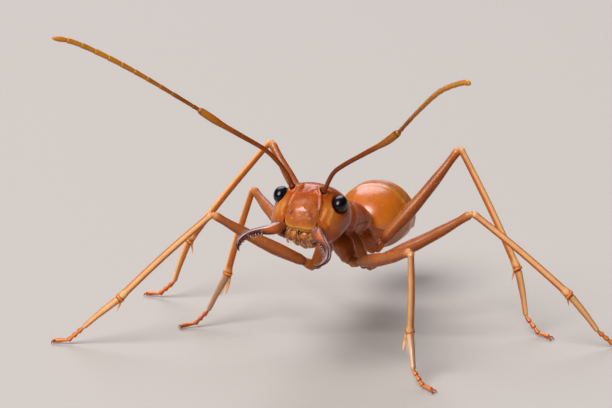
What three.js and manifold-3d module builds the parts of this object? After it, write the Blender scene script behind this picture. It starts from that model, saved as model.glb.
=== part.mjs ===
// A weaver ant (Oecophylla smaragdina), major worker, life size, standing with its jaws open.
// Millimetres and degrees. The ant faces -Y, its left side is +X and the floor is z = 0.
import * as THREE from 'three';
import { mergeVertices } from 'three/addons/utils/BufferGeometryUtils.js';
import Module from 'manifold-3d';

const wasm = await Module();
wasm.setup();

// ---- Driving dimensions ----

const ORIGIN = new THREE.Vector3(0.08, 1.65, 0); // point of the ant's mid-line that the part stands over
const GAP = 0.04; // clear space between neighbouring solids
const LIMB_RADIUS = 0.25; // legs and feelers are 0.5 mm thick here
const LIMB_SIDES = 8;
const BODY_SIDES = 20;
const BODY_RINGS = 18;
const KNOB_SIDES = 12; // around an eye, the clypeus and the mouthparts
const KNOB_RINGS = 9;

// Half widths, rises and depths are listed from the front of a shell to its back, evenly spaced.
// Blunt is the fullness of its front and back ends: 2 is round, and more is squarer.
const HEAD = {
  length: 1.82,
  centre: new THREE.Vector3(-0.055, 0.116, 3.64),
  yaw: -4, // turned to its right
  pitch: 19, // mouth lowered
  roll: 4.5, // left side lowered
  width: [0.64, 0.79, 0.85, 0.895, 0.895, 0.79],
  rise: [0.47, 0.645, 0.775, 0.775, 0.645, 0.45],
  depth: [0.3, 0.42, 0.5, 0.53, 0.5, 0.38],
  blunt: [3, 1.8],
};
// Places on the head are in its own frame: to the side, back from the middle, and up out of the face.
const EYE = { at: [0.685, -0.02, 0.475], half: [0.17, 0.225, 0.18] };
const CLYPEUS = { at: [0, -0.44, 0.33], half: [0.41, 0.34, 0.37] };
const MOUTH = { at: [0, -0.84, 0.06], half: [0.26, 0.2, 0.18] };
const PALP = { root: [0.13, -0.92, 0.02], tip: [0.19, -1.02, -0.13], radius: 0.06 };
const MANDIBLE = {
  base: [0.56, -0.77, 0.31],
  // The edges run from the hinge to the tip: how far out, and how far ahead.
  outer: [[0, 0], [0.08, 0.13], [0.16, 0.27], [0.24, 0.4], [0.32, 0.53], [0.39, 0.67], [0.43, 0.82],
    [0.44, 0.97], [0.4, 1.12], [0.315, 1.25], [0.19, 1.34]],
  inner: [[-0.26, 0.15], [-0.2, 0.3], [-0.1, 0.43], [0.035, 0.53], [0.14, 0.63], [0.21, 0.74], [0.255, 0.85],
    [0.29, 0.96], [0.29, 1.075], [0.26, 1.2]],
  thickness: 0.2,
  above: 0.05, // of the thickness, over the plane of the edges
  toothed: 3, // index of the first inner point with a notch beside it
  notch: 0.04,
};
const JAW_POSE = {
  left: { swing: -0.5, tilt: -6.8 }, // opened from straight ahead, and outer edge raised
  right: { swing: 10.2, tilt: 9.5 },
};

const ANTENNA = {
  left: {
    scape: [[0.286, -0.156, 4.267], [0.511, -0.248, 4.734], [0.777, -0.357, 4.988], [1.32, -0.578, 5.359],
      [1.87, -0.803, 5.728], [2.204, -0.939, 6.021]],
    funiculus: [[2.784, -1.611, 6.693], [3.426, -2.355, 7.352], [4.072, -3.102, 7.765], [4.318, -3.388, 7.83]],
  },
  right: {
    scape: [[-0.416, -0.09, 4.311], [-0.559, -0.103, 4.64], [-0.783, -0.122, 4.929], [-1.074, -0.148, 5.19],
      [-1.635, -0.197, 5.497], [-2.083, -0.236, 5.74], [-2.543, -0.276, 6.028]],
    funiculus: [[-3.602, -0.759, 6.796], [-4.403, -1.124, 7.321], [-5.062, -1.424, 7.678],
      [-5.481, -1.615, 7.787]],
  },
};
const FUNICULUS_JOINTS = [0.2, 0.6, 1]; // ends of its lengths, as shares of it

const TRUNK = {
  spine: [[0, 0.92, 3.4], [0, 1.65, 3.2], [0, 2.4, 2.93], [0, 3.25, 2.68], [0, 4.05, 2.42]],
  width: [0.4, 0.56, 0.66, 0.5, 0.42, 0.46, 0.55, 0.5, 0.4],
  rise: [0.36, 0.5, 0.56, 0.44, 0.36, 0.4, 0.48, 0.44, 0.34],
  depth: [0.4, 0.5, 0.52, 0.5, 0.46, 0.46, 0.46, 0.4, 0.3],
  blunt: [2.4, 2.4],
  cuts: [0.4, 0.58], // where the plates behind the prothorax and the mesothorax begin
};
const NECK = { from: [-0.05, 0.65, 3.6], to: [0, 1.2, 3.38], radius: 0.25 };
const PETIOLE = { from: [0, 3.8, 2.44], to: [0, 5.1, 2.16], radius: 0.26 };
const GASTER = {
  spine: [[0, 4.82, 2.12], [0, 5.6, 2.06], [0, 6.4, 1.98], [0, 7.1, 1.86]],
  width: [0.7, 0.86, 0.88, 0.8, 0.6],
  rise: [0.62, 0.8, 0.82, 0.72, 0.5],
  depth: [0.6, 0.74, 0.76, 0.68, 0.5],
  blunt: [2.3, 2.3],
  cuts: [0.36, 0.56, 0.74, 0.88],
};

const COXA_RADIUS = 0.29;
const TROCHANTER = 0.3; // length along the leg
const TARSOMERE_SLOPE = 42; // of the short foot joints
const CLAW_SLOPE = 4; // of the claw joint
const TOE_HEIGHT = 0.08; // of the claw joint's middle above the floor
// Of each leg: its hip and toe, the plan heading of its toes, the plan heading and the slope of its metatarsus, and
// the turn of its knee.
const LEG_PAIRS = {
  front: {
    femur: 2.36, tibia: 2.18, metatarsus: 0.97, tarsomeres: 0.43, claw: 0.29, root: [0.26, 1.35, 2.85],
    left: { hip: [0.605, 1.16, 2.31], toe: [2.91, -0.655], heading: -34, aim: [-70, 41], swivel: 14.4 },
    right: { hip: [-0.66, 1.4, 2.62], toe: [-3.75, 2.38], heading: 212, aim: [212, 61], swivel: 14 },
  },
  middle: {
    femur: 2.81, tibia: 2.93, metatarsus: 1.12, tarsomeres: 0.48, claw: 0.3, root: [0.2, 2.45, 2.6],
    left: { hip: [0.6, 2.55, 1.8], toe: [6.42, 3.73], heading: 28, aim: [28, 53], swivel: 2 },
    right: { hip: [-0.6, 2.5, 1.72], toe: [-6.26, 0.56], heading: 186, aim: [186, 41], swivel: -8 },
  },
  hind: {
    femur: 3.1, tibia: 3.13, metatarsus: 1.1, tarsomeres: 0.5, claw: 0.3, root: [0.2, 3.45, 2.4],
    left: { hip: [0.5, 3.7, 1.85], toe: [4.64, 3.76], heading: -25, aim: [-25, 77], swivel: -17 },
    right: { hip: [-0.5, 3.75, 1.85], toe: [-5.28, 4.61], heading: 174, aim: [174, 70], swivel: 23 },
  },
};
const LEG_PIECES = ['coxa', 'trochanter', 'femur', 'tibia', 'tarsus'];
const SIDES = { left: 1, right: -1 };

// ---- Materials ----

const paint = (color, roughness) => new THREE.MeshStandardMaterial({ color, roughness, metalness: 0 });
const MATERIALS = {
  head: paint(0xc4652c, 0.35),
  trunk: paint(0xbd6a2e, 0.4),
  gaster: paint(0xc9803c, 0.4),
  leg: paint(0xcf8a45, 0.4),
  foot: paint(0xc4581f, 0.45),
  feeler: paint(0x9a4f1c, 0.45),
  jaw: paint(0x5a2418, 0.3),
  eye: paint(0x0c0b10, 0.1),
};

// ---- Solids ----

const UP = new THREE.Vector3(0, 0, 1);
const ACROSS = new THREE.Vector3(1, 0, 0);
const ALONG = new THREE.Vector3(0, 1, 0);
const vector = (list) => new THREE.Vector3(...list);
const radians = THREE.MathUtils.degToRad;

// A closed three.js geometry as a manifold solid.
function solid(geometry) {
  const bare = geometry.clone();
  bare.deleteAttribute('normal');
  bare.deleteAttribute('uv');
  const merged = mergeVertices(bare, 1e-5);
  const vertProperties = Float32Array.from(merged.attributes.position.array);
  const triVerts = Uint32Array.from(merged.index.array);
  return new wasm.Manifold(new wasm.Mesh({ numProp: 3, vertProperties, triVerts }));
}

// A manifold solid as a named mesh.
function part(name, shape, material) {
  const { vertProperties, triVerts } = shape.getMesh();
  const geometry = new THREE.BufferGeometry();
  geometry.setAttribute('position', new THREE.BufferAttribute(Float32Array.from(vertProperties), 3));
  geometry.setIndex(new THREE.BufferAttribute(Uint32Array.from(triVerts), 1));
  geometry.computeVertexNormals();
  const mesh = new THREE.Mesh(geometry, material);
  mesh.name = name;
  return mesh;
}

// A smooth reading of evenly spaced values at t from 0 to 1.
function reading(values) {
  const curve = new THREE.SplineCurve(values.map((value, i) => new THREE.Vector2(i, value)));
  return (t) => curve.getPoint(THREE.MathUtils.clamp(t, 0, 1)).y;
}

// A rounded shell along a spine in the ant's mid-plane, with its half width, rise and depth read along it.
function shell({ spine, width, rise, depth, blunt }, grow = 0) {
  const line = new THREE.CatmullRomCurve3(spine.map(vector));
  const [widthAt, riseAt, depthAt] = [width, rise, depth].map(reading);
  const geometry = new THREE.SphereGeometry(1, BODY_SIDES, BODY_RINGS);
  const place = geometry.attributes.position;
  for (let i = 0; i < place.count; i += 1) {
    const along = place.getY(i);
    const power = blunt[along < 0 ? 0 : 1];
    const round = Math.hypot(place.getX(i), place.getZ(i));
    const fullness = round > 1e-6 ? (1 - Math.abs(along) ** power) ** (1 / power) / round : 0;
    const t = (1 + along) / 2;
    const tangent = line.getTangent(t);
    const upright = ACROSS.clone().cross(tangent).normalize();
    const side = place.getX(i) * fullness * (widthAt(t) + grow);
    const lift = place.getZ(i) * fullness * ((place.getZ(i) > 0 ? riseAt(t) : depthAt(t)) + grow);
    const point = line.getPoint(t).addScaledVector(tangent, along * grow).addScaledVector(upright, lift);
    place.setXYZ(i, point.x + side, point.y, point.z);
  }
  return geometry;
}

// A stretch of limb from one point to another, with round ends that reach past both.
function limb(from, to, startRadius, endRadius = startRadius) {
  const length = from.distanceTo(to);
  const capSteps = 2;
  const profile = [];
  for (const [centre, radius, turn] of [[0, startRadius, -90], [length, endRadius, 0]]) {
    for (let step = 0; step <= capSteps; step += 1) {
      const angle = radians(turn + (step * 90) / capSteps);
      const reach = radius * Math.cos(angle);
      profile.push(new THREE.Vector2(reach < 1e-6 ? 0 : reach, centre + radius * Math.sin(angle)));
    }
  }
  const geometry = new THREE.LatheGeometry(profile, LIMB_SIDES);
  const direction = to.clone().sub(from).normalize();
  geometry.applyQuaternion(new THREE.Quaternion().setFromUnitVectors(ALONG, direction));
  return geometry.translate(from.x, from.y, from.z);
}

// The half of space ahead of a point, as a large block set forward by half a gap.
function ahead(point, direction, clearance = GAP / 2) {
  const size = 30;
  const block = new THREE.BoxGeometry(size, size, size).translate(0, size / 2 + clearance, 0);
  block.applyQuaternion(new THREE.Quaternion().setFromUnitVectors(ALONG, direction.clone().normalize()));
  return solid(block.translate(point.x, point.y, point.z));
}

const behind = (point, direction) => ahead(point, direction.clone().negate());

// A shape split across its spine at each cut, from front to back.
function plates(shape, { spine, cuts }) {
  const line = new THREE.CatmullRomCurve3(spine.map(vector));
  return [0, ...cuts].map((start, i) => {
    let plate = shape;
    if (i > 0) plate = plate.intersect(ahead(line.getPoint(start), line.getTangent(start)));
    if (i < cuts.length) plate = plate.intersect(behind(line.getPoint(cuts[i]), line.getTangent(cuts[i])));
    return plate;
  });
}

// A tube of even thickness through several joints, starting half its radius before the first.
function bentLimb(points, radius) {
  const start = points[0].clone().lerp(points[1], -radius / points[0].distanceTo(points[1]) / 2);
  const circle = Array.from({ length: LIMB_SIDES }, (_, i) => {
    const angle = (2 * Math.PI * i) / LIMB_SIDES;
    return new THREE.Vector2(radius * Math.cos(angle), radius * Math.sin(angle));
  });
  const line = new THREE.CatmullRomCurve3([start, ...points.slice(1)]);
  const options = { extrudePath: line, steps: 2 * points.length, bevelEnabled: false };
  return new THREE.ExtrudeGeometry(new THREE.Shape(circle), options);
}

// A limb through its joints, parted into nodes at the listed ones by thin cuts that lie halfway between the
// directions on either side.
function chain(points, radii, breaks) {
  const heading = points.slice(1).map((point, i) => point.clone().sub(points[i]).normalize());
  const seam = (joint) => heading[joint - 1].clone().add(heading[joint]);
  return breaks.slice(1).map((end, i) => {
    const start = breaks[i];
    const straight = end === start + 1;
    let piece = solid(straight
      ? limb(points[start], points[end], radii[start], radii[end])
      : bentLimb(points.slice(start, end + 1), radii[start]));
    if (start > 0) piece = piece.intersect(ahead(points[start], seam(start)));
    if (end < heading.length) piece = piece.intersect(behind(points[end], seam(end)));
    return piece;
  });
}

// ---- Head ----

const turnOf = (axis, angle) => new THREE.Matrix4().makeRotationAxis(axis, radians(angle));
const headTurn = turnOf(UP, HEAD.yaw)
  .multiply(turnOf(ACROSS, HEAD.pitch))
  .multiply(turnOf(ALONG, HEAD.roll))
  .setPosition(HEAD.centre);
const onHead = ([x, y, z], side = 1) => new THREE.Vector3(side * x, y, z).applyMatrix4(headTurn);

const headShape = { ...HEAD, spine: [-0.5, 0, 0.5].map((share) => [0, share * HEAD.length, 0]) };

function knob({ at, half }, side = 1, grow = 0) {
  const geometry = new THREE.SphereGeometry(1, KNOB_SIDES, KNOB_RINGS);
  geometry.scale(...half.map((size) => size + grow)).translate(side * at[0], at[1], at[2]);
  return solid(geometry.applyMatrix4(headTurn));
}

// A sickle blade: its outer edge bows out and hooks in to the tip, and its inner edge is toothed.
function mandible(side) {
  const { base, outer, inner, thickness, above, toothed, notch } = MANDIBLE;
  const hand = SIDES[side];
  const bite = (i) => (i >= toothed && i % 2 === 1 ? notch : 0);
  const bitten = inner.map(([out, forward], i) => [out + bite(i), forward]);
  const edge = [...outer, ...bitten.reverse()];
  const outline = new THREE.Shape(edge.map(([out, forward]) => new THREE.Vector2(hand * out, -forward)));
  const geometry = new THREE.ExtrudeGeometry(outline, { depth: thickness, bevelEnabled: false });
  geometry.translate(0, 0, above - thickness);
  geometry.rotateY(radians(-hand * JAW_POSE[side].tilt));
  geometry.rotateZ(radians(hand * JAW_POSE[side].swing));
  return solid(geometry.translate(hand * base[0], base[1], base[2]).applyMatrix4(headTurn));
}

// The tongue and lips below the clypeus, with a short palp on either side.
function mouth() {
  let shape = knob(MOUTH);
  for (const hand of Object.values(SIDES)) {
    shape = shape.add(solid(limb(onHead(PALP.root, hand), onHead(PALP.tip, hand), PALP.radius)));
  }
  return shape;
}

function headNodes(skull) {
  const clypeusSpace = knob(CLYPEUS, 1, GAP);
  const mouthSpace = knob(MOUTH, 1, GAP);
  let capsule = skull.subtract(clypeusSpace);
  const nodes = [part('clypeus', knob(CLYPEUS), MATERIALS.head)];
  for (const [side, hand] of Object.entries(SIDES)) {
    nodes.push(part(`eye_${side}`, knob(EYE, hand), MATERIALS.eye));
    capsule = capsule.subtract(knob(EYE, hand, GAP));
    const jaw = mandible(side).subtract(headSpace).subtract(clypeusSpace).subtract(mouthSpace);
    nodes.push(part(`mandible_${side}`, jaw, MATERIALS.jaw));
  }
  nodes.push(part('mouthparts', mouth().subtract(headSpace).subtract(clypeusSpace), MATERIALS.foot));
  return [part('head', capsule, MATERIALS.head), ...nodes];
}

// ---- Feelers ----

// A unit direction from its plan angle and its rise above level.
function bearing([plan, rise]) {
  const turn = new THREE.Euler(0, -radians(rise), radians(plan), 'ZYX');
  return new THREE.Vector3(1, 0, 0).applyEuler(turn);
}

// The part of straight up that is square to a direction, as a unit vector.
const upFrom = (direction) => UP.clone().addScaledVector(direction, -direction.z).normalize();

function feelerNodes(side) {
  const { scape, funiculus } = ANTENNA[side];
  const scapeSteps = 5;
  const lengthSteps = 2; // in each length of the funiculus
  const rod = new THREE.CatmullRomCurve3(scape.map(vector));
  const lash = new THREE.CatmullRomCurve3([scape.at(-1), ...funiculus].map(vector));
  const points = rod.getSpacedPoints(scapeSteps);
  const breaks = [0, scapeSteps];
  FUNICULUS_JOINTS.forEach((end, i) => {
    const start = i > 0 ? FUNICULUS_JOINTS[i - 1] : 0;
    for (let step = 1; step <= lengthSteps; step += 1) {
      points.push(lash.getPointAt(THREE.MathUtils.lerp(start, end, step / lengthSteps)));
    }
    breaks.push(points.length - 1);
  });
  const radii = points.map(() => LIMB_RADIUS);
  const [scapeShape, ...rest] = chain(points, radii, breaks);
  return [
    part(`scape_${side}`, scapeShape.subtract(headSpace), MATERIALS.feeler),
    ...rest.map((shape, i) => part(`funiculus_${side}_${i + 1}`, shape, MATERIALS.feeler)),
  ];
}

// ---- Trunk and gaster ----

function trunkNodes() {
  const trunk = plates(solid(shell(TRUNK)), TRUNK);
  const neck = solid(limb(vector(NECK.from), vector(NECK.to), NECK.radius));
  const petiole = solid(limb(vector(PETIOLE.from), vector(PETIOLE.to), PETIOLE.radius));
  const gaster = plates(solid(shell(GASTER)), GASTER);
  return [
    part('neck', neck.subtract(headSpace).subtract(trunkSpace), MATERIALS.trunk),
    ...['pronotum', 'mesothorax', 'propodeum'].map((name, i) => part(name, trunk[i], MATERIALS.trunk)),
    part('petiole', petiole.subtract(trunkSpace).subtract(gasterSpace), MATERIALS.trunk),
    ...gaster.map((shape, i) => part(`gaster_${i + 1}`, shape, MATERIALS.gaster)),
  ];
}

// ---- Legs ----

// The knee stands where the femur and the tibia meet, turned about the line from hip to ankle by the swivel.
function kneeOf(hip, ankle, femur, tibia, swivel) {
  const span = ankle.clone().sub(hip);
  const reach = span.length();
  const along = span.divideScalar(reach);
  const foot = (femur ** 2 - tibia ** 2 + reach ** 2) / (2 * reach);
  const height = Math.sqrt(femur ** 2 - foot ** 2);
  const up = upFrom(along);
  const across = along.clone().cross(up);
  return hip.clone().addScaledVector(along, foot)
    .addScaledVector(up, height * Math.cos(radians(swivel)))
    .addScaledVector(across, height * Math.sin(radians(swivel)));
}

// The joints of a leg from its root to the claws. The foot is laid out first, back from the toe.
function legLine(pair, stance, side) {
  const back = (point, length, slope, heading = stance.heading) => (
    point.clone().addScaledVector(bearing([heading, -slope]), -length)
  );
  const [plan, slope] = stance.aim;
  const toe = new THREE.Vector3(...stance.toe, TOE_HEIGHT);
  const wrist = back(toe, pair.claw, CLAW_SLOPE);
  const ball = back(wrist, pair.tarsomeres, TARSOMERE_SLOPE);
  const ankle = back(ball, pair.metatarsus, slope, plan);
  const hip = vector(stance.hip);
  const knee = kneeOf(hip, ankle, pair.femur, pair.tibia, stance.swivel);
  const root = vector([SIDES[side] * pair.root[0], pair.root[1], pair.root[2]]);
  const thigh = hip.clone().lerp(knee, TROCHANTER / pair.femur);
  return [root, hip, thigh, knee, ankle, ball, wrist, toe];
}

function legNodes(pairName, side) {
  const pair = LEG_PAIRS[pairName];
  const points = legLine(pair, pair[side], side);
  const radii = points.map((_, i) => (i < 2 ? COXA_RADIUS : LIMB_RADIUS));
  const pieces = chain(points, radii, [0, 1, 2, 3, 4, 7]);
  const aboveFloor = ahead(new THREE.Vector3(), UP, 0);
  return LEG_PIECES.map((name, i) => {
    let shape = pieces[i];
    if (name === 'coxa') shape = shape.subtract(trunkSpace);
    if (name === 'tarsus') shape = shape.intersect(aboveFloor);
    const material = name === 'tarsus' ? MATERIALS.foot : MATERIALS.leg;
    return part(`${pairName}_${side}_${name}`, shape, material);
  });
}

// ---- The whole ant ----

const skull = solid(shell(headShape).applyMatrix4(headTurn));
const headSpace = solid(shell(headShape, GAP).applyMatrix4(headTurn));
const trunkSpace = solid(shell(TRUNK, GAP));
const gasterSpace = solid(shell(GASTER, GAP));

const ant = new THREE.Group();
ant.position.copy(ORIGIN).negate();
ant.add(...headNodes(skull), ...trunkNodes());
for (const side of Object.keys(SIDES)) {
  ant.add(...feelerNodes(side));
  for (const pairName of Object.keys(LEG_PAIRS)) ant.add(...legNodes(pairName, side));
}

export default ant;
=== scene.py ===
"""A weaver ant, major worker, standing with its jaws open.

Its shell plates, limbs, eyes and bristles are shaped around the CAD frame. Sizes are in millimetres and
degrees in the ant's own frame, as in the CAD part: it faces -Y, its left is +X and the floor is z = 0.
place() turns them into metres in the row's frame.
"""

import math

import bmesh
import bpy
import numpy as np
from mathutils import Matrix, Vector


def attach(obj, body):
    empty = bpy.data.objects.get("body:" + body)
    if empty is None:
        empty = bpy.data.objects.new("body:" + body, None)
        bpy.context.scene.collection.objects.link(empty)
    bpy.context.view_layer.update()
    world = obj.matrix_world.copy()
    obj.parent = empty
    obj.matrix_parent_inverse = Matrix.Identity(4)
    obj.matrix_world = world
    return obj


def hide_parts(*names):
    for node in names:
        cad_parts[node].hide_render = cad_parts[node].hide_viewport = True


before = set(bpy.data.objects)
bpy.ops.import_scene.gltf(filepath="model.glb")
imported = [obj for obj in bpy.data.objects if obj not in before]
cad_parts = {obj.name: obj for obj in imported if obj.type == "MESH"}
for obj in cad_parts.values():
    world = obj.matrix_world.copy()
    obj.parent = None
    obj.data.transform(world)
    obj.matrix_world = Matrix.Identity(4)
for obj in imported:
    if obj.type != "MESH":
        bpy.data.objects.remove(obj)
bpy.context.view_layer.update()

# ---- The CAD part's driving dimensions ----

MM = 0.001
ORIGIN = np.array([0.08, 1.65, 0.0])
SIDES = {"left": 1, "right": -1}

HALF_HEAD = 0.91
HEAD = {
    "centre": (-0.055, 0.116, 3.64),
    "yaw": -4,
    "pitch": 19,
    "roll": 4.5,
    "spine": ((0, -HALF_HEAD, 0), (0, 0, 0), (0, HALF_HEAD, 0)),  # in the head's own frame
    "width": (0.64, 0.79, 0.85, 0.895, 0.895, 0.79),
    "rise": (0.47, 0.645, 0.775, 0.775, 0.645, 0.45),
    "depth": (0.3, 0.42, 0.5, 0.53, 0.5, 0.38),
    "blunt": (3, 1.8),
}
EYE = {"at": (0.685, -0.02, 0.475), "half": (0.17, 0.225, 0.18)}
MANDIBLE = {
    "base": (0.56, -0.77, 0.31),
    # The edges run from the hinge to the tip: how far out, and how far ahead.
    "outer": (
        (0, 0), (0.08, 0.13), (0.16, 0.27), (0.24, 0.4), (0.32, 0.53), (0.39, 0.67),
        (0.43, 0.82), (0.44, 0.97), (0.4, 1.12), (0.315, 1.25), (0.19, 1.34),
    ),
    "inner": (
        (-0.26, 0.15), (-0.2, 0.3), (-0.1, 0.43), (0.035, 0.53), (0.14, 0.63), (0.21, 0.74),
        (0.255, 0.85), (0.29, 0.96), (0.29, 1.075), (0.26, 1.2), (0.188, 1.338),
    ),
}
JAW_POSE = {"left": {"swing": -0.5, "tilt": -6.8}, "right": {"swing": 10.2, "tilt": 9.5}}

ANTENNA = {
    "left": {
        "scape": (
            (0.286, -0.156, 4.267), (0.511, -0.248, 4.734), (0.777, -0.357, 4.988),
            (1.32, -0.578, 5.359), (1.87, -0.803, 5.728), (2.204, -0.939, 6.021),
        ),
        "funiculus": (
            (2.784, -1.611, 6.693), (3.426, -2.355, 7.352), (4.072, -3.102, 7.765), (4.318, -3.388, 7.83),
        ),
    },
    "right": {
        "scape": (
            (-0.416, -0.09, 4.311), (-0.559, -0.103, 4.64), (-0.783, -0.122, 4.929), (-1.074, -0.148, 5.19),
            (-1.635, -0.197, 5.497), (-2.083, -0.236, 5.74), (-2.543, -0.276, 6.028),
        ),
        "funiculus": (
            (-3.602, -0.759, 6.796), (-4.403, -1.124, 7.321),
            (-5.062, -1.424, 7.678), (-5.481, -1.615, 7.787),
        ),
    },
}
FUNICULUS_CUTS = (0.2, 0.6)  # where the CAD part parts it, as shares of its length

TRUNK = {
    "spine": ((0, 0.92, 3.4), (0, 1.65, 3.2), (0, 2.4, 2.93), (0, 3.25, 2.68), (0, 4.05, 2.42)),
    "width": (0.4, 0.56, 0.66, 0.5, 0.42, 0.46, 0.55, 0.5, 0.4),
    "rise": (0.36, 0.5, 0.56, 0.44, 0.36, 0.4, 0.48, 0.44, 0.34),
    "depth": (0.4, 0.5, 0.52, 0.5, 0.46, 0.46, 0.46, 0.4, 0.3),
    "blunt": (2.4, 2.4),
    "cuts": (0, 0.4, 0.58, 1),
}
GASTER = {
    "spine": ((0, 4.82, 2.12), (0, 5.6, 2.06), (0, 6.4, 1.98), (0, 7.1, 1.86)),
    "width": (0.7, 0.86, 0.88, 0.8, 0.6),
    "rise": (0.62, 0.8, 0.82, 0.72, 0.5),
    "depth": (0.6, 0.74, 0.76, 0.68, 0.5),
    "blunt": (2.3, 2.3),
    "cuts": (0, 0.36, 0.56, 0.74, 0.88, 1),
}

TROCHANTER = 0.3
TARSOMERE_SLOPE = 42
CLAW_SLOPE = 4
TOE_HEIGHT = 0.08
LEG_PAIRS = {
    "front": {
        "femur": 2.36, "tibia": 2.18, "metatarsus": 0.97, "tarsomeres": 0.43, "claw": 0.29,
        "root": (0.26, 1.35, 2.85),
        "left": {"hip": (0.605, 1.16, 2.31), "toe": (2.91, -0.655),
                 "heading": -34, "aim": (-70, 41), "swivel": 14.4},
        "right": {"hip": (-0.66, 1.4, 2.62), "toe": (-3.75, 2.38),
                  "heading": 212, "aim": (212, 61), "swivel": 14},
    },
    "middle": {
        "femur": 2.81, "tibia": 2.93, "metatarsus": 1.12, "tarsomeres": 0.48, "claw": 0.3,
        "root": (0.2, 2.45, 2.6),
        "left": {"hip": (0.6, 2.55, 1.8), "toe": (6.42, 3.73),
                 "heading": 28, "aim": (28, 53), "swivel": 2},
        "right": {"hip": (-0.6, 2.5, 1.72), "toe": (-6.26, 0.56),
                  "heading": 186, "aim": (186, 41), "swivel": -8},
    },
    "hind": {
        "femur": 3.1, "tibia": 3.13, "metatarsus": 1.1, "tarsomeres": 0.5, "claw": 0.3,
        "root": (0.2, 3.45, 2.4),
        "left": {"hip": (0.5, 3.7, 1.85), "toe": (4.64, 3.76),
                 "heading": -25, "aim": (-25, 77), "swivel": -17},
        "right": {"hip": (-0.5, 3.75, 1.85), "toe": (-5.28, 4.61),
                  "heading": 174, "aim": (174, 70), "swivel": 23},
    },
}

# ---- Numbers and curves ----

X, Y, Z = np.eye(3)
NEAR = 1e-3  # a step short enough to read a direction from
TINY = 1e-12  # keeps a direction with no length from being divided by zero
FINE = 800  # stations for measuring the length of a curve


def vec(values):
    return np.asarray(values, float)


def unit(v):
    return v / np.maximum(np.linalg.norm(v, axis=-1, keepdims=True), TINY)


def shares(count):
    """Even steps from 0 to 1."""
    return np.linspace(0, 1, count)


def eased(count, start=0, end=1):
    """Steps from 0 to 1 that crowd towards both ends. start and end can leave out a little at either."""
    return (1 - np.cos(np.linspace(start, end, count) * math.pi)) / 2


def ring_angles(sides):
    return np.arange(sides) * 2 * math.pi / sides


def step(low, high, x):
    """0 below low, 1 above high, and smooth between."""
    t = np.clip((x - low) / (high - low), 0, 1)
    return t * t * (3 - 2 * t)


def bell(x, width):
    return np.exp(-((x / width) ** 2))


def spline(values, t):
    """Evenly spaced numbers or points, read smoothly at t from 0 to 1."""
    values, t = vec(values), vec(t)
    last = len(values) - 1
    spot = np.clip(t, 0, 1) * last
    i = np.minimum(spot.astype(int), last - 1)
    w = spot - i
    if values.ndim > 1:
        w = w[..., None]
    before, here, after, beyond = (values[np.clip(i + k, 0, last)] for k in (-1, 0, 1, 2))
    start, end = (after - before) / 2, (beyond - here) / 2
    cubic = 2 * here - 2 * after + start + end
    square = -3 * here + 3 * after - 2 * start - end
    return (cubic * w + square) * w * w + start * w + here


def profile(stations, t):
    """A radius or a height read between (place, value) stations, with smooth turns."""
    at, value = zip(*stations)
    i = np.clip(np.searchsorted(at, t, "right") - 1, 0, len(at) - 2)
    at, value = vec(at), vec(value)
    return value[i] + (value[i + 1] - value[i]) * step(at[i], at[i + 1], t)


def turn(axis, angle):
    """The matrix that turns points about an axis by an angle in degrees."""
    a = math.radians(angle)
    x, y, z = axis
    cross = vec([[0, -z, y], [z, 0, -x], [-y, x, 0]])
    return np.eye(3) + math.sin(a) * cross + (1 - math.cos(a)) * cross @ cross


def bearing(aim):
    """A unit direction from its plan angle from +X and its rise above level."""
    plan, rise = (math.radians(a) for a in aim)
    return vec([math.cos(rise) * math.cos(plan), math.cos(rise) * math.sin(plan), math.sin(rise)])


def evenly(points, at):
    """Points at shares of the length of a smooth curve through the given ones."""
    fine = spline(points, shares(FINE))
    run = np.concatenate([[0], np.cumsum(np.linalg.norm(np.diff(fine, axis=0), axis=1))])
    return spline(points, np.interp(vec(at) * run[-1], run, shares(FINE)))


HEAD_TURN = turn(Z, HEAD["yaw"]) @ turn(X, HEAD["pitch"]) @ turn(Y, HEAD["roll"])


def on_head(points):
    """Points in the head's own frame (aside, back from its middle, up out of the face) in the ant's frame."""
    return vec(points) @ HEAD_TURN.T + vec(HEAD["centre"])


def place(points):
    return (vec(points) - ORIGIN) * MM


# ---- Forms: points and faces, and what is painted on the points ----

PAINTS = {"dark": 0.0, "glow": 0.0, "hair": 1.0, "lie": (0.0, 0.0, 0.0)}  # and what each is if not given


class Form:
    """One or more closed surfaces.

    dark and glow shade them, hair is the share of bristles, and lie is the direction in which these lie.
    """

    def __init__(self, points, faces, uv, **paint):
        self.points, self.faces, self.uv = points, faces, uv
        for name, plain in PAINTS.items():
            shape = (len(points), *np.shape(plain))
            setattr(self, name, np.broadcast_to(vec(paint.get(name, plain)), shape).copy())

    def moved(self, change):
        """The same form with its points and its lie put through a change of place."""
        tip = change(self.points + self.lie * NEAR)
        self.points = change(self.points)
        self.lie = unit(tip - self.points)
        return self


def joined(forms):
    """Forms as one, with their maps side by side."""
    faces, uv, first = [], [], 0
    for i, form in enumerate(forms):
        faces += [tuple(first + k for k in face) for face in form.faces]
        uv += [tuple(((u + i) / len(forms), v) for u, v in corner) for corner in form.uv]
        first += len(form.points)
    paint = {name: np.concatenate([getattr(form, name) for form in forms]) for name in PAINTS}
    return Form(np.vstack([form.points for form in forms]), faces, uv, **paint)


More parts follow.
